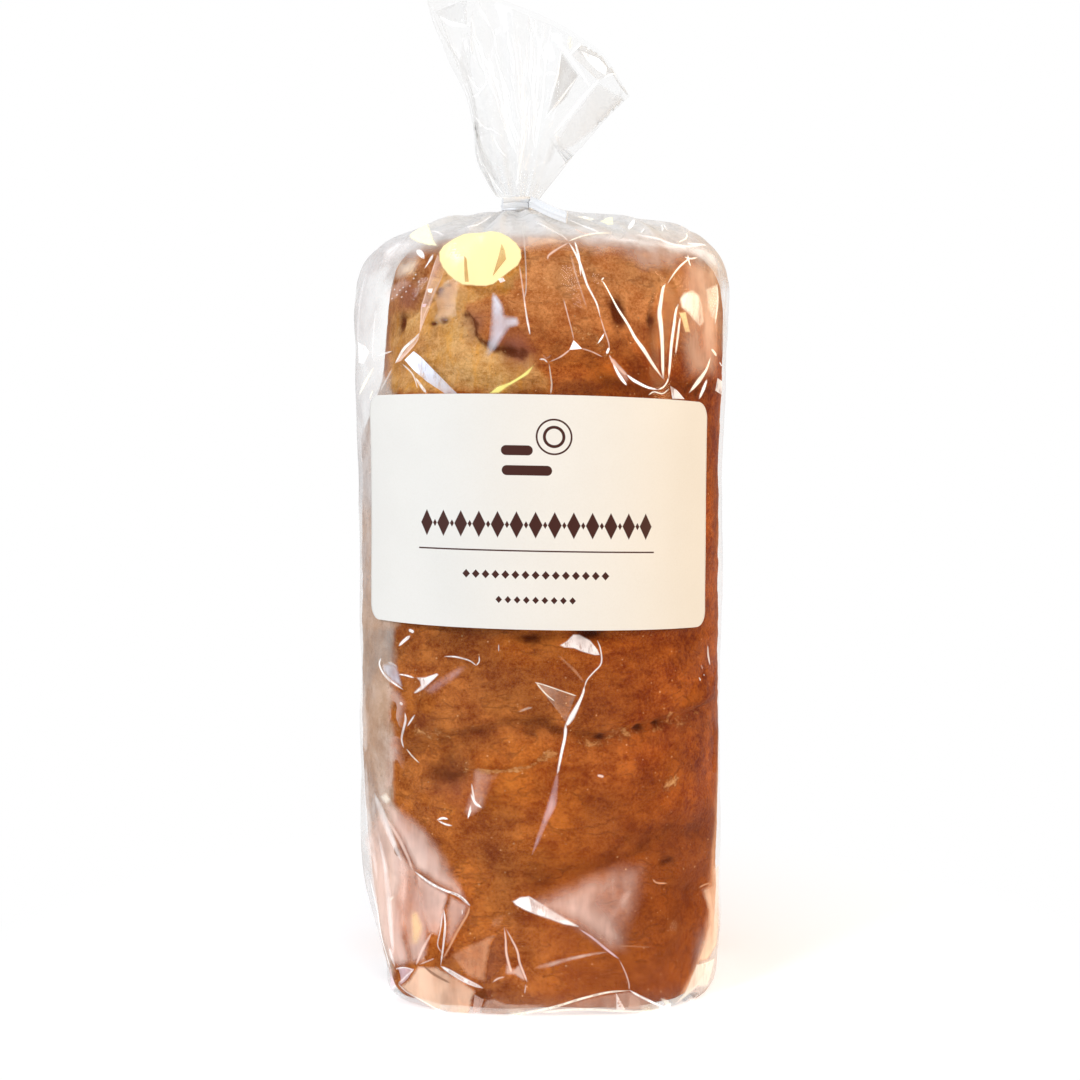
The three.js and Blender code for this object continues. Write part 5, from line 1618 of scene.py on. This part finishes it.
# painted highlights and shade along the mouth's folds: tone, strength, half width along the line, and the
# line, across and up
mouthLines = [
    ("white", 0.9, (0.25, 0.45, 0.25), [(1.4, 280), (6.4, 286.3), (11.9, 293.5)]),
    ("white", 0.7, (0.4, 0.7, 0.4), [(4.2, 275.3), (9.1, 281.4), (14.1, 287.4), (19.6, 293.2)]),
    ("white", 1, (0.3, 0.6, 0.5, 0.4), [(3.1, 308.6), (8.6, 301.7), (11.9, 297.3), (16.3, 291)]),
    ("white", 1, (0.3, 0.5, 0.4), [(9.4, 300.6), (13, 303.9), (16.9, 307.5)]),
    ("cream", 0.5, (0.6, 0.6), [(9.1, 303.9), (10.9, 309.9)]),
    ("white", 0.9, (0.3, 0.4, 0.3), [(20.9, 293.4), (23.1, 294.6), (25.7, 294.8)]),
    ("white", 0.9, (0.2, 0.4, 0.3), [(1.4, 294.3), (3.1, 295), (5.5, 294.1)]),
    ("white", 1, (0.3, 0.8, 0.3), [(-33.6, 316.8), (-29.4, 314.3), (-24.3, 311.9)]),
    ("white", 0.7, (0.3, 0.35, 0.35, 0.2), [(-22.8, 309.4), (-20, 303.9), (-16.7, 298.4), (-16.4, 292.9),
        (-13.1, 285.2)]),
    ("white", 0.5, (0.2, 0.3, 0.2), [(-24.4, 297.3), (-22.2, 294), (-20, 291.3)]),
    ("white", 0.8, (0.5, 0.4, 0.3), [(-22.8, 289.5), (-18.9, 291.7), (-17.7, 294)]),
    ("white", 0.8, (0.3, 0.3, 0.2), [(-21.4, 282.5), (-20, 280.5), (-16.7, 278.2), (-13.4, 275.8)]),
    ("white", 0.7, (0.3, 0.5, 0.3), [(-20, 317.6), (-18.4, 314.9), (-16.6, 311.5)]),
    ("white", 0.5, (0.3, 0.4, 0.3), [(-19.5, 267.6), (-15.6, 261), (-12.2, 256.5)]),
    ("white", 0.5, (0.3, 0.4, 0.3), [(-15.6, 275.3), (-13.4, 270.9), (-10.7, 268.2)]),
    ("white", 0.5, (0.4, 0.5, 0.4), [(-4.6, 317.1), (-0.8, 306.7), (2, 298.4)]),
    ("white", 0.6, (0.3, 0.5, 0.3), [(6.9, 302.3), (5.8, 294), (4.4, 289.6), (2.8, 284.7)]),
    ("white", 0.4, (0.4, 0.5, 0.3), [(-11.8, 292.9), (-11.2, 285.2), (-11.8, 277.5)]),
    ("white", 0.4, (0.4, 0.6, 0.4), [(-4.6, 276.4), (-6.3, 268.2), (-7.9, 258.3)]),
    ("grey", 0.6, (0.3, 0.4, 0.4, 0.4), [(17.6, 306.7), (21.8, 301.2), (25.1, 296.2), (29.4, 287.4)]),
    ("grey", 0.5, (0.3, 0.35, 0.35, 0.3), [(29, 285.2), (22.3, 278.6), (14.1, 271.8), (6.6, 265.2)]),
    ("grey", 0.5, (0.4, 0.5, 0.5), [(-22.5, 280.8), (-20, 273.1), (-15.6, 264.9), (-12.3, 257.2)]),
    ("grey", 0.4, (0.3, 0.4, 0.3), [(-22.2, 317.1), (-22.8, 309.4), (-22.5, 302.3)]),
    ("grey", 0.4, (0.3, 0.3, 0.3), [(-33.8, 317.1), (-29.9, 306.7), (-27.2, 299)]),
]

# painted shade and glints on the mouth's facets: tone, width of the soft edge, strength in the middle, and
# corners, with each corner's own strength where it differs
mouthSheets = [
    ("shade", 0.8, 0.4, [(6.9, 302, 0.35), (12.8, 294.5, 0.5), (9.1, 287.4, 0.5), (1.7, 280.2, 0.45),
        (4.4, 289.6, 0.5)]),
    ("grey", 1.2, 0.5, [(19, 292.3, 0.45), (28.6, 287, 0.5), (27.6, 285, 0.5), (12.4, 272.6, 0.5),
        (5.2, 269, 0.5), (5, 274.8, 0.45), (13, 285.2, 0.45)]),
    ("grey", 0.4, 0.5, [(10.3, 301, 0.4), (17.2, 306.8, 0.45), (21.2, 302, 0.5), (25.4, 295.7, 0.5),
        (21.2, 293.6, 0.5), (19, 292.9, 0.5), (13.2, 298.1, 0.45)]),
    ("white", 0.3, 0.9, [(13.4, 302, 0.7), (15.7, 299.5, 0.9), (19.3, 299.6, 0.9), (22, 296.8, 0.9),
        (21.5, 294.5, 0.8), (19, 295.8, 0.9), (16.3, 298.1, 0.8)]),
    ("grey", 0.4, 0.35, [(-35.7, 318.9, 0.3), (-24.4, 320.4, 0.4), (-24.3, 312.1, 0.35),
        (-33.6, 316.5, 0.3)]),
    ("grey", 0.8, 0.35, [(-26, 310.5, 0.3), (-22.8, 309.1, 0.4), (-22.7, 296.8, 0.4), (-25.2, 292.9, 0.3),
        (-27.4, 299.5, 0.3)]),
    ("shade", 1, 0.3, [(-22.7, 281.9, 0.2), (-15.6, 265.4, 0.35), (-12.2, 255.5, 0.35),
        (-17.8, 263.8, 0.35), (-21.9, 275.3, 0.3)]),
    ("shade", 1.5, 0.22, [(3.6, 266, 0.25), (6, 272, 0.25), (3.7, 274.8, 0.2), (0.3, 264.3, 0.1),
        (-0.8, 257.5, 0.1)]),
]


def mouthStreaks():
    # painted highlights along fine creases that fan out from the tie
    dice = np.random.default_rng(mouthShape["streakSeed"])
    rows = []
    for _ in range(mouthShape["streaks"]):
        first, last = sorted(dice.uniform(0.2, 0.98, 2))
        last = max(last, first + 0.12)
        top = np.array([dice.uniform(-29, 6), mouthShape["streakTop"]])
        ray = top - np.array(mouthShape["streakStart"])
        shares = np.linspace(first, last, 4)
        line = [tuple(top - ray * (1 - share) + dice.uniform(-0.6, 0.6, 2)) for share in shares]
        rows.append(("white", dice.uniform(0.3, 0.75), (0.12, dice.uniform(0.15, 0.4), 0.12), line))
    return rows


mouth = makeMouth()
finishPiece(mouth, clearFilm, "bag")
mouthFoldsAndGlints = makeFoldsAndGlints("mouth_folds_and_glints", surfaceTree(mouth), mouthLines + mouthStreaks(), mouthSheets)
finishPiece(mouthFoldsAndGlints, foldedAndGlintedFilm, "bag")
print("mouth:", len(mouth.data.polygons), "faces, its folds:", len(mouthFoldsAndGlints.data.polygons))

# The label

labelGrid = {
    "columns": 130,
    "rows": 84,
    "waveSize": 30.0,
    "waveRise": 0.12,
    "walkStep": 0.005,
    "walkSteps": 320,
}


def walkRound(height, distance):
    # the angle a distance round the front from the middle, at a height
    section = sectionWhere("height", height)
    angle = np.zeros(height.shape)
    walked = np.zeros(height.shape)
    step = np.sign(distance) * labelGrid["walkStep"]
    here = ringPoint(section, angle)
    for _ in range(labelGrid["walkSteps"]):
        there = ringPoint(section, angle + step)
        run = np.linalg.norm(there - here, axis=-1)
        go = np.clip((np.abs(distance) - walked) / np.maximum(run, 1e-9), 0, 1)
        angle = angle + step * go
        walked = walked + run * go
        here = np.where((go >= 1)[..., None], there, here)
    return section, angle


def makeLabel():
    piece = newGrid("front_label", labelGrid["columns"], labelGrid["rows"])
    flat = readPoints(piece)
    corner, half = labelPlace["corner"], labelPlace["height"] / 2
    up = half * np.sin(flat[:, 1] * math.pi / 2)
    past = np.clip(np.abs(up) - (half - corner), 0, corner)
    reach = labelPlace["width"] / 2 - corner + np.sqrt(np.maximum(corner**2 - past**2, 0))
    across = flat[:, 0] * reach
    height = labelPlace["middle"] + up - across * math.tan(labelPlace["tilt"])
    section, angle = walkRound(height, labelPlace["shift"] + across)
    outward = ringNormal(section, angle)
    points = ringPoint(section, angle) + outward * labelPlace["lift"]
    waves = roughNoise(points, labelGrid["waveSize"], 2, 1.0)[:, None]
    writePoints(piece, points + outward * labelGrid["waveRise"] * waves)
    places = np.stack([across, up], -1) / labelPrint["uvSize"] + labelPrint["uvMiddle"]
    corners = np.zeros(len(piece.data.loops), int)
    piece.data.loops.foreach_get("vertex_index", corners)
    layer = piece.data.uv_layers.active or piece.data.uv_layers.new(name="UVMap")
    layer.data.foreach_set("uv", places[corners].ravel())
    closeSeams(piece)
    applyModifier(piece, "SOLIDIFY", "paper", thickness=labelPlace["thickness"] * mm, offset=-1)
    return piece


# plain printed shapes, in millimetres from the label's middle
labelPrint = {
    "uvSize": 100,  # millimetres for one unit of the UV map
    "uvMiddle": np.array([0.75, 0.5]),
    "ink": (72, 38, 32),
    "soft": 0.06,
    # place, radius and width
    "rings": [(5.5, 22.6, 5.2, 0.55), (5.5, 22.6, 2.9, 0.9)],
    # place, width and height
    "bars": [(-5.6, 18.4, 9.5, 3.0), (-2.6, 12.4, 15.0, 3.0), (0, -11.7, 74, 0.45)],
    # height of the row, its reach, period, width and height of each, and shift in periods
    "lozenges": [
        (-3.9, 36.9, 5.68, 4.1, 8.0, 0.5),
        (-3.9, 36.0, 5.68, 1.3, 2.2, 0.0),
        (-18.9, 22.5, 3.0, 2.4, 2.6, 0.5),
        (-26.4, 12.37, 2.75, 2.0, 2.2, 0.5),
    ],
}


def printedShapes(tree):
    uv = addNode(tree, "UVMap").outputs[0]
    parts = addNode(tree, "SeparateXYZ", None, {0: uv}).outputs
    middle, size, soft = labelPrint["uvMiddle"], labelPrint["uvSize"], labelPrint["soft"]
    across = times(tree, minus(tree, parts["X"], middle[0]), size)
    up = times(tree, minus(tree, parts["Y"], middle[1]), size)

    def apart(value, place):
        return maths(tree, "ABSOLUTE", minus(tree, value, place))

    def distance(dx, dy):
        return maths(tree, "SQRT", plus(tree, times(tree, dx, dx), times(tree, dy, dy)))

    def bar(x, y, wide, high):
        past = maths(tree, "MAXIMUM", minus(tree, apart(across, x), wide / 2 - high / 2), 0.0)
        return stretch(tree, distance(past, apart(up, y)), high / 2 + soft, high / 2 - soft)

    def ring(x, y, radius, width):
        away = apart(distance(apart(across, x), apart(up, y)), radius)
        return stretch(tree, away, width / 2 + soft, width / 2 - soft)

    def lozenges(y, reach, period, wide, high, shift):
        cell = maths(tree, "FRACT", plus(tree, maths(tree, "DIVIDE", across, period), 20 + shift))
        dx = times(tree, apart(cell, 0.5), period / (wide / 2))
        dy = maths(tree, "DIVIDE", apart(up, y), high / 2)
        inside = maths(tree, "LESS_THAN", maths(tree, "ABSOLUTE", across), reach)
        return times(tree, stretch(tree, plus(tree, dx, dy), 1.05, 0.95), inside)

    printed = 0.0
    for draw, rows in ((ring, "rings"), (bar, "bars"), (lozenges, "lozenges")):
        for row in labelPrint[rows]:
            printed = maths(tree, "MAXIMUM", printed, draw(*row))
    return printed


def labelMaterial():
    material, tree = newMaterial("label_paper")
    place = objectPlace(tree)
    fibre = cloud(tree, place, 0.6, 4, 0.6)
    soft = cloud(tree, place, 22, 2, 0.5)
    paper = mixTones(tree, stretch(tree, soft, 0.35, 0.65), tone(240, 237, 231), tone(242, 239, 233))
    paper = mixTones(tree, stretch(tree, fibre, 0.35, 0.8, 0, 0.12), paper, tone(222, 214, 198))
    finishPaint(tree, {
        "Base Color": mixTones(tree, printedShapes(tree), paper, tone(*labelPrint["ink"])),
        "Roughness": 0.5,
        "Specular IOR Level": 0.2,
        "Normal": bumps(tree, fibre, 0.12, 0.0002),
    })
    return material


label = makeLabel()
finishPiece(label, labelMaterial(), "label")
print("label:", len(label.data.polygons), "faces")

# The twist tie

tieShape = {
    "width": 3.6,
    "thickness": 0.4,
    "rib": 0.35,
    "ribWidth": 0.16,  # as a share of half the width
    "bandRadius": 5.7,
    "bandWave": 0.35,
    "steps": 90,
    "longTail": [
        (-3.2, -4.4, 253), (-3.0, -14, 251.8), (-0.8, -25, 248.6), (3.2, -32.5, 245.2), (8.4, -36.8, 242.3),
    ],
    "longSteps": 60,
    "shortTail": [(-3.2, -4.4, 253), (-4.6, -7.6, 253), (-8.4, -9.8, 252.6), (-12.2, -10.4, 252.2)],
    "shortSteps": 40,
}


def makeRibbon(name, centre, firstWide, lastWide):
    # a flat ribbon along a line of points, with a wire's ridge along its middle
    steps = len(centre) - 1
    piece = newGrid(name, steps, 12)
    share = np.linspace(0, 1, steps + 1)[:, None]
    ahead = unit(np.gradient(centre, axis=0))
    wide = np.array(firstWide, float) * (1 - share) + np.array(lastWide, float) * share
    wide = unit(wide - (wide * ahead).sum(-1, keepdims=True) * ahead)
    thick = np.cross(ahead, wide)
    offset = np.linspace(-1, 1, 13)[:, None, None]
    points = centre[None] + wide[None] * offset * tieShape["width"] / 2
    ridge = np.exp(-((offset / tieShape["ribWidth"]) ** 2)) * tieShape["rib"]
    writePoints(piece, (points + thick[None] * ridge).reshape(-1, 3))
    return piece


def makeTie():
    shape = tieShape
    shift, tie, radius = bagShape["neckShift"], bagShape["tieHeight"], shape["bandRadius"]
    twist = shape["longTail"][0]  # where the two ends leave the band
    start = math.atan2(twist[1], twist[0] - shift)
    turn = np.linspace(0, 2 * math.pi, shape["steps"] + 1)[:, None]
    band = np.hstack([
        shift + radius * np.cos(start + turn),
        radius * np.sin(start + turn),
        tie + shape["bandWave"] * np.sin(2 * turn),
    ])
    longTail = smoothLine(shape["longTail"], shape["longSteps"])
    shortTail = smoothLine(shape["shortTail"], shape["shortSteps"])
    parts = [
        makeRibbon("tie_band", band, (0, 0, 1), (0, 0, 1)),
        makeRibbon("tie_long", longTail, (0.15, 0, 1), (0.25, -0.6, 0.75)),
        makeRibbon("tie_short", shortTail, (0, 0, 1), (0, -0.3, 1)),
    ]
    for part in parts:
        applyModifier(part, "SOLIDIFY", "paper", thickness=shape["thickness"] * mm, offset=0)
    piece = joinPieces("tie_ribbon", parts)
    closeSeams(piece)
    return piece


def tieMaterial():
    material, tree = newMaterial("tie_paper")
    fibre = cloud(tree, objectPlace(tree), 0.5, 4, 0.6)
    colour = mixTones(tree, stretch(tree, fibre, 0.3, 0.8), tone(252, 252, 252), tone(238, 240, 244))
    finishPaint(tree, {"Base Color": colour, "Roughness": 0.4, "Normal": bumps(tree, fibre, 0.2, 0.0002)})
    return material


tie = makeTie()
finishPiece(tie, tieMaterial(), "twist_tie")
print("tie:", len(tie.data.polygons), "faces")

# Floor, sky, lights and camera

studio = {
    "floorRadius": 2.4,
    "floorColour": (0.78, 0.8, 0.83, 1),
    "floorGlow": 0.42,
    "floorGlowOnThings": 0.6,
    "backdropStart": 0.07,
    "backdropFull": 0.2,
    "skyOnThings": 0.43,
    "skyInGloss": 0.3,
    "aim": (0, 0, 0.13),
    "eye": (0.0, -470.0, 159.0),
    "lens": 46.667,
    "frameShift": -53 / 1080,
}

# where each light stands, how wide and high it is, and how bright its face is
lights = {
    "window": {"place": (-760, -700, 560), "size": (260, 340), "glow": 23.0, "colour": (0.88, 0.93, 1.0)},
    "warmWall": {"place": (700, -330, 330), "size": (200, 420), "glow": 12.0, "colour": (1.0, 0.7, 0.38)},
    "topPanel": {"place": (0, -150, 1300), "size": (900, 900), "glow": 1.5, "colour": (1.0, 0.99, 0.97)},
    "frontPanel": {"place": (330, -1150, 700), "size": (130, 180), "glow": 9.0, "colour": (1.0, 0.95, 0.84)},
}


def makeFloor():
    clearSelection()
    bpy.ops.mesh.primitive_circle_add(vertices=96, radius=studio["floorRadius"], fill_type="NGON")
    floor = bpy.context.object
    floor.name = "floor"
    material, tree = newMaterial("pale_floor")
    # white far away, where it is the backdrop, and a real surface near the loaf
    place = objectPlace(tree)
    away = addNode(tree, "VectorMath", {"operation": "LENGTH"}, {0: place}).outputs["Value"]
    far = stretch(tree, away, studio["backdropStart"], studio["backdropFull"])
    seen = addNode(tree, "LightPath").outputs["Is Camera Ray"]
    strength = stretch(tree, seen, 0, 1, studio["floorGlowOnThings"], 1.0)
    glow = addNode(tree, "Emission", None, {"Color": (1, 1, 1, 1), "Strength": strength}).outputs[0]
    lit = addNode(tree, "BsdfDiffuse", None, {"Color": studio["floorColour"]}).outputs[0]
    sockets = {"Color": (1, 1, 1, 1), "Strength": studio["floorGlow"]}
    lift = addNode(tree, "Emission", None, sockets).outputs[0]
    near = addNode(tree, "AddShader", None, {0: lit, 1: lift}).outputs[0]
    finishShader(tree, mixShaders(tree, far, near, glow))
    floor.data.materials.append(material)
    return floor


def makeSky():
    world = bpy.data.worlds.new("studio")
    bpy.context.scene.world = world
    world.use_nodes = True
    tree = world.node_tree
    tree.nodes.clear()
    path = addNode(tree, "LightPath").outputs
    sky = (studio["skyOnThings"],) * 3 + (1,)
    gloss = (studio["skyInGloss"],) * 3 + (1,)
    colour = mixTones(tree, path["Is Glossy Ray"], sky, gloss)
    colour = mixTones(tree, path["Is Camera Ray"], colour, (1, 1, 1, 1))
    backdrop = addNode(tree, "Background", None, {"Color": colour, "Strength": 1.0})
    addNode(tree, "OutputWorld", None, {0: backdrop.outputs[0]})


def makeLights():
    for name, light in lights.items():
        place = Vector(light["place"]) * mm
        aim = (Vector(studio["aim"]) - place).to_track_quat("-Z", "Y").to_euler()
        bpy.ops.object.light_add(type="AREA", location=place, rotation=aim)
        lamp = bpy.context.object
        lamp.name = name
        lamp.data.shape = "RECTANGLE"
        lamp.data.size, lamp.data.size_y = (side * mm for side in light["size"])
        face = lamp.data.size * lamp.data.size_y
        lamp.data.energy = light["glow"] * math.pi * face
        lamp.data.color = light["colour"]
        lamp.visible_camera = False


def makeCamera():
    place = [side * mm for side in studio["eye"]]
    bpy.ops.object.camera_add(location=place, rotation=(math.pi / 2, 0, 0))
    camera = bpy.context.object
    camera.data.sensor_width = 36
    camera.data.lens = studio["lens"]
    camera.data.shift_y = studio["frameShift"]
    camera.data.clip_start = 0.01
    bpy.context.scene.camera = camera


makeFloor()
makeSky()
makeLights()
makeCamera()
bpy.context.scene.view_settings.view_transform = "Standard"
print("studio ready")
